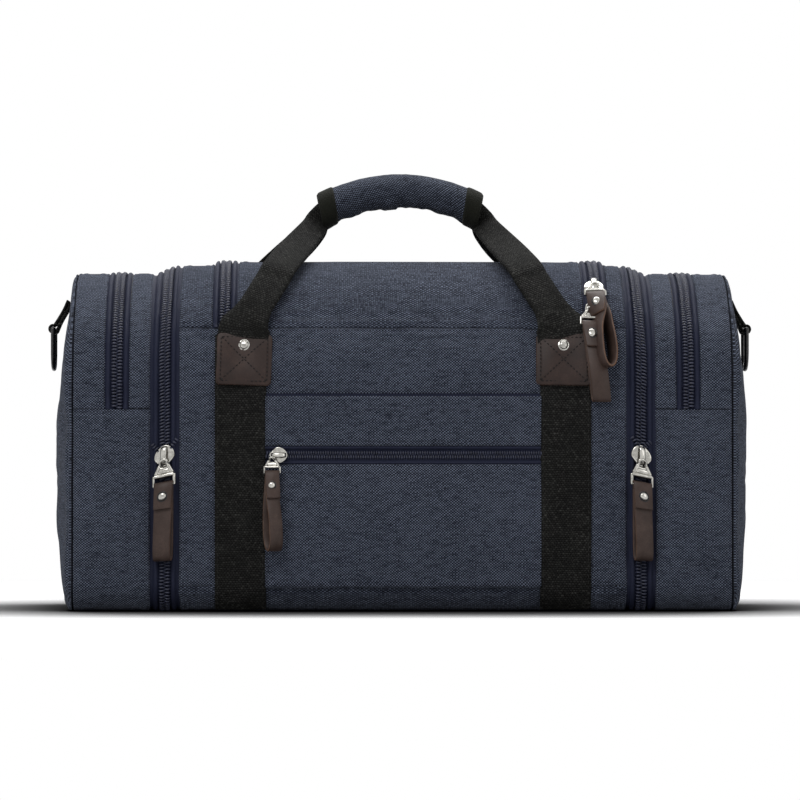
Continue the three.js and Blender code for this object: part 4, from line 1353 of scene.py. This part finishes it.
def tube(points, radius, flat=1.0, closed=False, sides=10, subdivide=4):
    """Points and faces of a tube along a route of (across, up, out) points."""
    route = spline(np.asarray(points, float), subdivide, closed)
    m = len(route)
    if closed:
        ahead, behind = np.roll(route, -1, 0), np.roll(route, 1, 0)
    else:
        ahead, behind = np.vstack([route[1:], route[-1:]]), np.vstack([route[:1], route[:-1]])
    tangent = ahead - behind
    tangent /= np.linalg.norm(tangent, axis=1, keepdims=True)
    out = np.tile([0.0, 0.0, 1.0], (m, 1))
    steep = np.abs(tangent[:, 2]) > 0.9
    out[steep] = [0, 1, 0]
    side_on = np.cross(tangent, out)
    side_on /= np.linalg.norm(side_on, axis=1, keepdims=True)
    for i in range(1, m):
        if side_on[i] @ side_on[i - 1] < 0:
            side_on[i] *= -1
    third = np.cross(side_on, tangent)
    turns = np.linspace(0, 2 * math.pi, sides, endpoint=False)
    c, q = np.cos(turns)[None, :, None], np.sin(turns)[None, :, None]
    rings = route[:, None] + radius * (c * side_on[:, None] + flat * q * third[:, None])
    faces = ring_faces(m, sides, closed) + ([] if closed else end_faces(m, sides))
    return rings.reshape(-1, 3), faces


def pillow(outline, levels):
    """Points and faces of a domed plate: levels are (share of the outline, height)."""
    outline = np.asarray(outline, float)
    points = np.concatenate([np.column_stack([outline * share, np.full(len(outline), high)])
                             for share, high in levels])
    faces = grid_faces(len(levels), len(outline), 0, wrap=True) + end_faces(len(levels), len(outline))
    return points, faces


def local_object(name, shapes, place, materials, indices=None):
    """Joins shapes drawn in (across, up, out) and lays them on the skin by a place function."""
    points, faces, marks = [], [], []
    total = 0
    for number, (p, f) in enumerate(shapes):
        points.append(p)
        faces += [[i + total for i in face] for face in f]
        marks += [indices[number] if indices else 0] * len(f)
        total += len(p)
    return face_outwards(new_object(name, place(np.concatenate(points)), faces, materials, None, marks))


def slider_shapes(size=1.0):
    """A cast slider: a teardrop plate, one under the chain, and the wide bridge the pull hangs on."""
    drop = []
    for t in np.linspace(0, 2 * math.pi, 40, endpoint=False):
        rise = math.sin(t)
        narrow = 0.45 * float(smooth(-rise, 0.1, 1.0)) + 0.16 * max(rise, 0) ** 2
        drop.append((7.6 * (1 - narrow) * math.cos(t), 8.6 * rise))
    front = pillow(drop, [(0.93, 0.9), (0.99, 1.1), (1.0, 1.5), (1.0, 2.1), (0.975, 2.4), (0.93, 2.6),
                          (0.8, 2.7), (0.3, 2.75)])
    back = pillow(drop, [(0.85, -0.6), (0.9, -0.3), (0.9, 0.2), (0.8, 0.4)])
    post = tube([(0, 5.6, 0.0), (0, 5.7, 1.5), (0, 5.4, 3.0)], 2.0)
    arch = [(0, 6.4, 2.2), (0, 6.6, 4.0), (0, 5.4, 5.6), (0, 2.0, 6.4), (0, -2.6, 6.2), (0, -5.0, 5.0),
            (0, -5.8, 3.4), (0, -5.6, 2.2)]
    bridge = tube(arch, 2.3, 0.45, sides=14)
    stretch = np.array([size, size, 1.0])
    return [(points * stretch, faces) for points, faces in (front, back, post, bridge)]


def puller_shapes():
    """The cast pull: an eye round the bridge, a flaring plate, a thick bar and two legs."""
    eye = [(0, -2.6, 7.6), (-2.2, -3.6, 7.2), (-2.6, -6.0, 6.2), (-3.4, -8.6, 5.4), (0, -9.4, 5.2),
           (3.4, -8.6, 5.4), (2.6, -6.0, 6.2), (2.2, -3.6, 7.2)]
    frame_loop = tube(eye, 1.15, 0.8, closed=True)
    left, right = [tube([(x * 0.5, -7.0, 5.8), (x * 0.72, -10.0, 5.4), (x, -13.4, 5.2)], 1.4, 0.7)
                   for x in (-6.3, 6.3)]
    apron = tube([(-4.6, -11.6, 5.1), (0, -11.4, 5.2), (4.6, -11.6, 5.1)], 2.2, 0.4)
    bar = tube([(-7.3, -14.6, 5.3), (-3.5, -14.7, 5.6), (3.5, -14.7, 5.6), (7.3, -14.6, 5.3)], 1.7, 0.9)
    legs = [tube([(x, -14.2, 5.3), (x, -18, 5.3), (x, -22.6, 5.1)], 1.15, 1.1) for x in (-7.6, 7.6)]
    axle = tube([(-7.6, -21.6, 5.2), (7.6, -21.6, 5.2)], 0.9)
    return [frame_loop, left, right, apron, bar, *legs, axle]


def ribbon(route, half, thick, soft=0.35):
    """A flat strap with rounded edges, along a route of (up, out) points. Its cut edges are marked 1."""
    fine = spline(np.asarray(route, float), 5)
    tangent = np.gradient(fine, axis=0)
    tangent /= np.linalg.norm(tangent, axis=1, keepdims=True)
    normal = np.column_stack([-tangent[:, 1], tangent[:, 0]])
    h, t = half, thick / 2
    section = [(-h, -t + soft), (-h + soft, -t), (0, -t), (h - soft, -t), (h, -t + soft),
               (h, t - soft), (h - soft, t), (0, t), (-h + soft, t), (-h, t - soft)]
    points = []
    for centre, nn in zip(fine, normal):
        for a, b in section:
            q = centre + nn * b
            points.append((a, q[0], q[1]))
    count = len(section)
    faces = ring_faces(len(fine), count) + end_faces(len(fine), count)
    marks = [1 if j in (4, 9) else 0 for j in range(count)] * (len(fine) - 1) + [1, 1]
    return np.array(points), faces, marks


# Folded leather from the side, as (up, out) points: over the pull's bar, down, and up again.
LOOP = [(-40, 8.4), (-34, 8.5), (-28, 8.5), (-23.6, 8.0), (-20.9, 6.9), (-20.2, 5.2), (-21.4, 3.7),
        (-25, 3.1), (-36, 3.0), (-54, 2.2), (-69, 1.8), (-76, 2.4), (-78.6, 4.6), (-76.5, 7.0),
        (-69, 7.9), (-54, 7.4), (-40, 6.3), (-32, 6.4), (-26, 6.4)]
OPEN_LOOP = [(-40, 8.8), (-34, 8.9), (-28, 8.8), (-23.6, 8.2), (-20.9, 7.0), (-20.2, 5.2), (-21.4, 3.7),
             (-25, 2.8), (-36, 1.6), (-54, 0.6), (-67, 1.2), (-75, 3.6), (-78.6, 7.6), (-76.5, 11.4),
             (-69, 12.6), (-54, 10.6), (-40, 7.0), (-32, 6.6), (-26, 6.5)]
LEATHER_HALF, LEATHER_THICK = 6.9, 1.7
AXLE_OUT = 5.2  # how far out the pull's axle lies


def leather_loop(name, place, route, half, twist, lean):
    """The folded strip of leather on a pull. It twists and leans more towards its end."""
    points, faces, marks = ribbon(route, half, LEATHER_THICK)
    below = np.clip(-points[:, 1] - 21, 0, None) / 58
    angle = math.radians(twist) * smooth(below, -0.1, 0.55)
    x, o = points[:, 0].copy(), points[:, 2] - AXLE_OUT
    points[:, 0] = x * np.cos(angle) - o * np.sin(angle) + lean * below
    outward = AXLE_OUT + np.abs(twist) / 90 * 2.0 * smooth(below, 0, 0.5)
    points[:, 2] = outward + x * np.sin(angle) + o * np.cos(angle)
    return face_outwards(new_object(name, place(points), faces, [loop_leather, cut_edge], None, marks))


RIVET_AT = (0.3, -30.5, 9.2)  # across, up and out from the slider's middle
RIVET_RADIUS, RIVET_HIGH = 3.9, 2.0


def rivet_cap(radius):
    """A rivet's domed cap."""
    x, y, out = RIVET_AT
    profile = [(0.78, -0.4), (0.82, 0.1), (0.82, 0.3), (0.74, 0.6), (0.56, 0.84), (0.32, 0.97), (0.1, 1.0)]
    ring = circle(20)
    points = np.array([(x + r * radius * c, y + r * radius * q, out + h * RIVET_HIGH)
                       for r, h in profile for c, q in ring])
    faces = grid_faces(len(profile), len(ring), 0, wrap=True) + end_faces(len(profile), len(ring))
    return points, faces


def rivet_shade_ring(radius):
    """A thin ring of dark metal under a rivet's cap: painted shade round the foot of the cap."""
    x, y, out = RIVET_AT
    route = [(x + 0.93 * radius * c, y + 0.93 * radius * q, out + 0.1) for c, q in circle(20)]
    return tube(route, 0.5, 0.8, closed=True, sides=8, subdivide=1)


def on_skin(u0, s0, lift=0.0, mirror=1, across=False, back=False):
    """Places local (across, up, out) points on the skin about a slider's middle."""

    def place(p):
        x, y, o = p[:, 0] * mirror, p[:, 1], p[:, 2]
        if across:
            x, y = y, -x
        return skin(u0 + x, s0 - y if back else s0 + y, o + lift)

    return place


PULLER_LENGTH = 20.2
LEATHER_LIFT = 0.8  # keeps the leather clear of the swelled fabric


def zip_pull(name, body_slider, body_pull, u0, s0, lift=0.0, mirror=1, across=False, back=False,
             twist=8.0, lean=0.0, aside=0.0, short=1.0, size=1.0, narrow=1.0, route=LOOP):
    """A slider, its cast pull, the leather and its rivet. The bodies' nodes have the bodies' names.

    short and narrow are shares of the pull's length and width, and size is the slider's share."""
    place = on_skin(u0, s0, lift, mirror, across, back)
    hang = on_skin(u0 + aside, s0, lift, mirror, False, back)
    raise_by = (1 - short) * PULLER_LENGTH
    strip_s = s0 - raise_by if back else s0 + raise_by
    strip = on_skin(u0 + aside, strip_s, lift + LEATHER_LIFT, mirror, False, back)
    piece = local_object(f"{name}_slider_cast", slider_shapes(size), place, [nickel])
    settle(piece, body_slider, "nickel", body_slider)
    parts = [(points * [narrow, short, 1], faces) for points, faces in puller_shapes()]
    piece = local_object(f"{name}_puller", parts, hang, [nickel])
    settle(piece, body_pull, "nickel", body_pull)
    loop = leather_loop(f"{name}_leather", strip, route, LEATHER_HALF * narrow, twist, lean)
    settle(loop, body_pull, "leather")
    radius = RIVET_RADIUS * (1 + narrow) / 2
    # The rivet's dark ring is painted shade round the foot of its cap.
    rivet = [rivet_cap(radius), rivet_shade_ring(radius)]
    piece = local_object(f"{name}_pull_rivet", rivet, strip, [nickel, dark_metal], [0, 1])
    settle(piece, body_pull, "nickel")


GIRTH_SLIDER_DROP = 5
girth_s = up(centre_of("right_girth_slider")[2] - GIRTH_SLIDER_DROP)
for name, side in (("left", -1), ("right", 1)):
    for part, toward in (("in", -1), ("out", 1)):
        u0, u1 = side * GIRTH_X + 2.5 * toward, side * GIRTH_X + 8.6 * toward
        stub = straight(u0, girth_s + 5.5, u1, girth_s + 12.5, 12)
        row = teeth(f"{name}_girth_coil_end_{part}", stub, side * toward, scale=0.8)
        settle(raised(row, 1.6), f"{name}_girth_slider", "tape")
    zip_pull(f"{name}_girth", f"{name}_girth_slider", f"{name}_girth_pull", side * GIRTH_X, girth_s,
             mirror=side, twist=-12, lean=1.0)
    pocket_s = GIRTH - end_up(centre_of(f"{name}_end_pocket_slider")[2])
    zip_pull(f"{name}_end_pocket", f"{name}_end_pocket_slider", f"{name}_end_pocket_pull",
             side * POCKET_X, pocket_s, mirror=side, back=True)

slider_u = centre_of("front_pocket_slider")[0] - 2
zip_pull("front_pocket", "front_pocket_slider", "front_pocket_pull", slider_u, s_slit, POCKET_LIFT,
         mirror=-1, across=True, twist=26, aside=-4.5, short=0.6, size=0.8, narrow=0.76, route=OPEN_LOOP)


def slider_distance(node):
    """Distance along the skin of a slider on the front of the top arch."""
    _, y, z = centre_of(node)
    angle = math.atan2(z - (MID_HEIGHT - TOP_RADIUS), -y - MIDDLE.flat_top)
    return MIDDLE.marks[2] + TOP_RADIUS * angle


top_x = LID_X + TOP_RUN - 1
zip_pull("top_lower", "top_slider_lower", "top_pull_lower", top_x, slider_distance("top_slider_lower") + 1,
         twist=-10, lean=7, aside=-3.5, short=0.65)
zip_pull("top_upper", "top_slider_upper", "top_pull_upper", top_x, slider_distance("top_slider_upper"),
         lift=0.5, twist=66, lean=10, aside=0.5, short=0.5, route=OPEN_LOOP)

# ---------------------------------------------------------------- D-rings and their tabs

RING_SINK = 3.5  # how far the rings lie inside the CAD's
RING_WIRE = 1.7


def d_ring(name, side):
    """A D of bent wire, with its straight bar on top."""
    low, high = corners(f"{name}_d_ring")
    x = (low[0] + high[0]) / 2 - side * RING_SINK
    half, top, bottom = high[1] - RING_WIRE, high[2] - RING_WIRE, low[2] + RING_WIRE
    straight_z = bottom + half
    route = [(-half, straight_z), (-half, top - 2), (-half + 2, top), (0, top), (half - 2, top),
             (half, top - 2), (half, straight_z)]
    bow = np.linspace(0.35, math.pi - 0.35, 7)
    route += [(half * math.cos(t), straight_z - half * math.sin(t)) for t in bow]
    points, faces = tube([(y, z, 0) for y, z in route], RING_WIRE, closed=True, sides=12, subdivide=6)
    world = np.column_stack([np.full(len(points), x) + points[:, 2], points[:, 0], points[:, 1]])
    piece = clean(new_object(f"{name}_d_ring_wire", world, faces, [dark_metal]))
    settle(piece, f"{name}_d_ring", "dark_metal", f"{name}_d_ring")


def ring_tab(name, side):
    """Webbing folded round the D-ring's straight bar and sewn to the end panel."""
    low, high = corners(f"{name}_ring_tab")
    ring_low, ring_high = corners(f"{name}_d_ring")
    bar_x, bar_z = abs(ring_low[0] + ring_high[0]) / 2 - RING_SINK, ring_high[2] - RING_WIRE
    half = (high[1] - low[1]) / 2
    turns = np.linspace(math.radians(100), math.radians(-170), 12)
    around = [(bar_x + 3.0 * math.cos(t), bar_z + 3.0 * math.sin(t)) for t in turns]
    route = [(bar_x - 11.2, bar_z + 22), (bar_x - 7.6, bar_z + 14), (bar_x - 2.8, bar_z + 6), *around,
             (bar_x - 5.8, bar_z + 6), (bar_x - 10.4, bar_z + 14), (bar_x - 13.6, bar_z + 20)]
    points, faces, _ = ribbon([(z, x) for x, z in route], half, 1.8)
    world = np.column_stack([side * points[:, 2], points[:, 0], points[:, 1]])
    piece = clean(new_object(f"{name}_ring_tab_webbing", world, faces, [webbing], points[:, :2]))
    settle(piece, f"{name}_flap", "webbing", f"{name}_ring_tab")


for name, side in (("left", -1), ("right", 1)):
    d_ring(name, side)
    ring_tab(name, side)

# ---------------------------------------------------------------- handles and grip

GRIP_DROP = 16.5  # how much lower the grip's ends are than its middle
GRIP_CROWN = GRIP_TOP - 13.6
STRAP_GAP = 4.0  # from the grip's middle to each strap inside it
WRAP_DEEP, WRAP_TALL = 13.6, 12.8
WRAP_WALL = 2.6
BINDING = 11.5  # length of the binding at each end of the grip
BACK_SPREAD = 13.0  # how far the back handle bows out
PIVOT = np.array(JOINTS["front_handle_swing"]["pos_m"]) / MM


def grip_line(x):
    """Height of the grip's middle line."""
    t = np.minimum(np.abs(x) / GRIP_HALF, 1.15)
    return GRIP_CROWN - GRIP_DROP * t * t


def handle_route(spread):
    """Middle line of a handle's left half, from its patch to the crown of the grip.

    spread bows the strap outwards."""
    base_s = up(PATCH_HIGH) - 10
    rise = [-20, 0, 8, 22, 40, 58, 80]
    inwards = [0, 0, 2.5, 12 - spread * 0.5, 25 - spread, 38 - spread, 48 - spread]
    hug = []
    for k in range(6):
        y, z = (float(v) for v in MIDDLE.point(np.array(base_s + 14.0 * k)))
        outward = np.array([y + MIDDLE.flat_top, z - (MID_HEIGHT - TOP_RADIUS)])
        outward = outward / np.linalg.norm(outward)
        lift = 1.3 + 1.9 * k if k else 0.9
        x = -WEB_X + PATCH_SHIFT["left"] / 2 + np.interp(z - PATCH_HIGH, rise, inwards)
        hug.append((x, y + outward[0] * lift, z + outward[1] * lift))
    end_z = GRIP_CROWN - GRIP_DROP
    hug.append((-GRIP_HALF - 9, -19, end_z - 17))
    inside = [(-part * GRIP_HALF, -STRAP_GAP, float(grip_line(part * GRIP_HALF)) - sink)
              for part, sink in ((1.06, 6.5), (0.94, 3), (0.8, 0), (0.5, 0), (0.25, 0), (0, 0))]
    return np.array(hug + inside)


def folded_section(folded):
    """Section of webbing with its inner edge folded under: across, depth, and the normal's two parts."""
    width = 2 * WEB_HALF
    radius = 1.1 + 0.5 * folded
    turn = math.pi * max(0.02, float(smooth(folded, 0, 0.3)))
    under = 0.4 + 16.5 * folded
    flat = width - under - radius * turn
    v = np.linspace(0, flat, 10)
    phi = np.linspace(0, turn, 8)[1:]
    back = np.linspace(0, under, 6)[1:]
    c, q = math.cos(turn), math.sin(turn)
    across = [v, flat + radius * np.sin(phi), flat + radius * q + back * c]
    depth = [v * 0, -radius * (1 - np.cos(phi)), -radius * (1 - c) - back * q]
    normal_across = [v * 0, np.sin(phi), back * 0 + q]
    normal_out = [v * 0 + 1, np.cos(phi), back * 0 + c]
    seen = flat + radius * min(1.0, turn)
    places = np.concatenate([v, flat + radius * phi, flat + radius * turn + back])
    rows = [np.concatenate(part) for part in (across, depth, normal_across, normal_out)]
    return rows[0] - seen / 2, rows[1] + radius * folded, rows[2], rows[3], places


def handle(name, face, body, node):
    """A handle's webbing from patch to patch, its right half a mirror of its left."""
    line = spline(handle_route(0.0 if face == "front" else BACK_SPREAD), 8)
    steps = np.linalg.norm(np.diff(line, axis=0), axis=1)
    far = np.concatenate([[0], np.cumsum(steps)])
    even = np.linspace(0, far[-1], 100)
    line = np.column_stack([np.interp(even, far, line[:, k]) for k in range(3)])
    tangent = np.gradient(line, axis=0)
    tangent[-1] = (1, 0, 0)
    tangent /= np.linalg.norm(tangent, axis=1, keepdims=True)
    near_grip = smooth(line[:, 0], -GRIP_HALF - 24, -GRIP_HALF - 2)
    folded = 0.6 * smooth(line[:, 2], PATCH_HIGH + 3, PATCH_HIGH + 24) + 0.4 * near_grip
    early = smooth(even / far[-1], 0, 0.12)
    outer, inner, uvs = [], [], []
    for i in range(len(line)):
        outward = np.array([0, -1, 0.9 * early[i] * (1 - near_grip[i])])
        flat = outward - (outward @ tangent[i]) * tangent[i]
        flat /= np.linalg.norm(flat)
        sideways = np.cross(tangent[i], flat)
        across, depth, part_across, part_out, places = folded_section(float(folded[i]))
        bow = 0.9 * np.cos(np.clip(across / WEB_HALF, -1, 1) * math.pi / 2)
        row = line[i] + across[:, None] * sideways + (depth + bow)[:, None] * flat
        normal = part_across[:, None] * sideways + part_out[:, None] * flat
        edge = np.minimum(np.arange(len(places)), np.arange(len(places))[::-1])
        thick = np.where(edge == 0, 0.55, 1.0)[:, None]
        outer.append(row + normal * thick)
        inner.append(row - normal * thick)
        uvs.append(np.column_stack([places, np.full(len(places), even[i])]))
    outer, inner, uvs = np.array(outer), np.array(inner), np.array(uvs)
    flip = np.array([-1, 1, 1])
    outer = np.concatenate([outer, outer[::-1][1:] * flip])
    inner = np.concatenate([inner, inner[::-1][1:] * flip])
    more = uvs[::-1][1:].copy()
    more[..., 1] = 2 * even[-1] - more[..., 1]
    uvs = np.concatenate([uvs, more])
    if face == "back":
        outer, inner = outer * [1, -1, 1], inner * [1, -1, 1]
    piece = clean(slab(name, outer, inner, [webbing], uvs))
    low, high = PIVOT - [0, 0, 8], PIVOT + [0, 0, 10]
    settle_blend(piece, "bag", body, low, high, "webbing", node)


handle("front_handle_strap", "front", "front_handle", "front_handle_webbing")
handle("back_handle_strap", "back", "back_handle", "back_handle_webbing")


def wrap(name, x0, x1, grow, materials, slot_name, wrinkle, grain, rows, *nodes):
    """A stretch of the padded grip: open along its back, thick at its lips."""
    turns = np.linspace(0.26 * math.pi, 1.74 * math.pi, 52)
    x, t = np.meshgrid(np.linspace(x0, x1, rows), turns, indexing="ij")
    c, q = np.cos(t), np.sin(t)
    ends = np.minimum(x - x0, x1 - x)
    lower = smooth(-q, 0.25, 0.95)
    wavy = noise(x / 7, t * 2.2, 8) * 0.5 + noise(x / 3.4, t * 1.4, 9) * 0.35
    scallops = np.abs(np.sin(x / 7.5 + 0.8 * noise(x / 15, x * 0, 10))) - 0.6
    step = smooth(x, -34, -5) * (1 - smooth(x, -3.4, -1.6))
    swelling = grow + wrinkle * (wavy * (0.3 + lower) + 1.1 * lower * scallops + 1.8 * lower * step)
    rim = -1.4 * np.exp(-((ends / 0.9) ** 1.4))
    lips = -np.exp(-(((t - turns[0]) / 0.12) ** 2)) - np.exp(-(((turns[-1] - t) / 0.12) ** 2))
    deep = WRAP_DEEP + swelling + rim + lips
    tall = WRAP_TALL + 0.9 * (x / GRIP_HALF) ** 2 + swelling + rim + lips
    lean = np.arctan(-2 * GRIP_DROP * x / GRIP_HALF**2) * 0.4

    def ring(thinner):
        rise = q * (tall - thinner)
        middle = grip_line(x) + np.cos(lean) * rise
        return np.stack([x - np.sin(lean) * rise, c * (deep - thinner), middle], -1)

    turn = math.radians(grain)
    cosine, sine = math.cos(turn), math.sin(turn)
    around = t * 14.5
    uv = np.stack([x * cosine - around * sine, x * sine + around * cosine], -1)
    piece = clean(slab(name, ring(0), ring(WRAP_WALL), materials, uv))
    return settle(piece, "front_handle", slot_name, *nodes)


grip_cloth = [grip_canvas, lining, grip_canvas]
sleeve = wrap("grip_sleeve", -GRIP_HALF + 9, GRIP_HALF - 9, 0.0, grip_cloth, "canvas", 1.0, 14, 110,
              "grip_wrap")
for name, side in (("left", -1), ("right", 1)):
    x0, x1 = on_side(side, GRIP_HALF + 0.8, GRIP_HALF - BINDING)
    wrap(f"grip_binding_{name}", x0, x1, 1.2, [binding], "webbing", 0.3, 0, 26)

# ---------------------------------------------------------------- pieces kept from the CAD


def finish_node(node, material):
    """Gives a CAD node that stays visible its material."""
    piece = frame["nodes"][node]
    piece.data.materials.clear()
    piece.data.materials.append(material)


finish_node("base_board", board)
for name in ("left", "right"):
    finish_node(f"{name}_end_divider", board)


# ---------------------------------------------------------------- floor, light and camera

# Painted shadow: near the bag the floor's colour is darkened by ambient occlusion raised to FLOOR_SHADE.
FLOOR_SHADE = 4.6  # how strongly the bag darkens the floor close to it
FLOOR_SHADE_REACH = 0.2
FLOOR_NEAR = 0.55  # the lit floor ends here, and plain white begins
FLOOR_WHITE, FLOOR_BOUNCE = 0.92, 0.55
FLOOR_REACH, FLOOR_Z = 30, -0.0005
SKY_STRENGTH = 0.64


def seen_ray(n):
    """1 for the rays that show the white background: the camera's and those off metal and glass."""
    path = n.add("ShaderNodeLightPath").outputs
    shiny = n.math("MAXIMUM", path["Is Glossy Ray"], path["Is Transmission Ray"])
    return n.math("MAXIMUM", path["Is Camera Ray"], shiny)


def floor_material():
    """White floor: lit close to the bag, where the lamps' shadows fall and a painted shadow darkens its
    colour, and plain white farther out where it is seen.
    """
    material = bpy.data.materials.new("floor_white")
    material.use_nodes = True
    tree = material.node_tree
    tree.nodes.clear()
    n = Nodes(tree)
    # Painted shadow: ambient occlusion darkens the floor's own colour close to the bag.
    nearby = n.add("ShaderNodeAmbientOcclusion", samples=32)
    nearby.inputs["Distance"].default_value = FLOOR_SHADE_REACH
    painted_shade = n.math("MULTIPLY", n.math("POWER", nearby.outputs["AO"], FLOOR_SHADE), FLOOR_WHITE)
    close = n.add("ShaderNodeBsdfDiffuse")
    n.link(n.grey(painted_shade), close.inputs["Color"])
    far = n.add("ShaderNodeEmission")
    at = n.add("ShaderNodeTexCoord").outputs["Object"]
    length = n.add("ShaderNodeVectorMath", operation="LENGTH")
    n.link(at, length.inputs[0])
    away = n.math("MULTIPLY", n.math("SUBTRACT", length.outputs["Value"], FLOOR_NEAR), 2.0, clamp=True)
    shown = n.choose(away, close.outputs[0], far.outputs[0])
    plain = n.add("ShaderNodeBsdfDiffuse")
    plain.inputs["Color"].default_value = (FLOOR_BOUNCE, FLOOR_BOUNCE, FLOOR_BOUNCE, 1)
    choice = n.choose(seen_ray(n), plain.outputs[0], shown)
    n.link(choice, n.add("ShaderNodeOutputMaterial").inputs[0])
    return material


def stage_floor():
    ends = [(-1, -1), (1, -1), (1, 1), (-1, 1)]
    points = [(x * FLOOR_REACH, y * FLOOR_REACH, FLOOR_Z) for x, y in ends]
    mesh = bpy.data.meshes.new("floor")
    mesh.from_pydata(points, [], [[0, 1, 2, 3]])
    mesh.materials.append(floor_material())
    floor = bpy.data.objects.new("floor", mesh)
    bpy.context.scene.collection.objects.link(floor)


def stage_world():
    """Soft light that is stronger from above, and a white background."""
    world = bpy.data.worlds.new("studio")
    bpy.context.scene.world = world
    world.use_nodes = True
    tree = world.node_tree
    tree.nodes.clear()
    n = Nodes(tree)
    soft = n.add("ShaderNodeBackground")
    white = n.add("ShaderNodeBackground")
    white.inputs["Color"].default_value = (1, 1, 1, 1)
    split = n.add("ShaderNodeSeparateXYZ")
    n.link(n.add("ShaderNodeTexCoord").outputs["Generated"], split.inputs[0])
    height = n.math("ADD", n.math("MULTIPLY", split.outputs[2], 0.5), 0.5)
    greys = [(0.0, (60, 60, 62)), (0.46, (64, 64, 66)), (0.56, (160, 160, 162)), (1.0, (250, 250, 252))]
    n.link(n.ramp(height, greys), soft.inputs["Color"])
    soft.inputs["Strength"].default_value = SKY_STRENGTH
    shown = n.choose(seen_ray(n), soft.outputs[0], white.outputs[0])
    n.link(shown, n.add("ShaderNodeOutputWorld").inputs[0])


def area_light(name, place, target, size, power):
    """A rectangular lamp that faces a target."""
    light = bpy.data.lights.new(name, "AREA")
    light.shape, light.size, light.size_y = "RECTANGLE", size[0], size[1]
    light.energy = power
    lamp = bpy.data.objects.new(name, light)
    bpy.context.scene.collection.objects.link(lamp)
    lamp.location = place
    lamp.rotation_euler = (Vector(target) - Vector(place)).to_track_quat("-Z", "Y").to_euler()


CAMERA_TURN = math.radians(-1.1)
CAMERA_FAR = 3.41
CAMERA_HEIGHT = 0.09
CAMERA_TILT = 0.0204


def stage_camera():
    camera = bpy.data.cameras.new("camera")
    camera.lens = 198.8
    camera.sensor_width = 36
    camera.clip_end = 200
    view = bpy.data.objects.new("camera", camera)
    bpy.context.scene.collection.objects.link(view)
    view.location = (CAMERA_FAR * math.sin(CAMERA_TURN), -CAMERA_FAR * math.cos(CAMERA_TURN), CAMERA_HEIGHT)
    view.rotation_euler = (math.pi / 2 + CAMERA_TILT, 0, CAMERA_TURN)
    bpy.context.scene.camera = view


stage_floor()
stage_world()
area_light("key", (-0.9, -1.7, 1.9), (0, 0, 0.12), (1.3, 1.0), 26)
area_light("fill", (1.6, -1.7, 0.8), (0, 0, 0.12), (0.9, 1.3), 4)
area_light("top", (0.1, 0.6, 1.8), (0, 0, 0.1), (1.6, 0.8), 27)
stage_camera()
bpy.context.scene.view_settings.view_transform = "Standard"
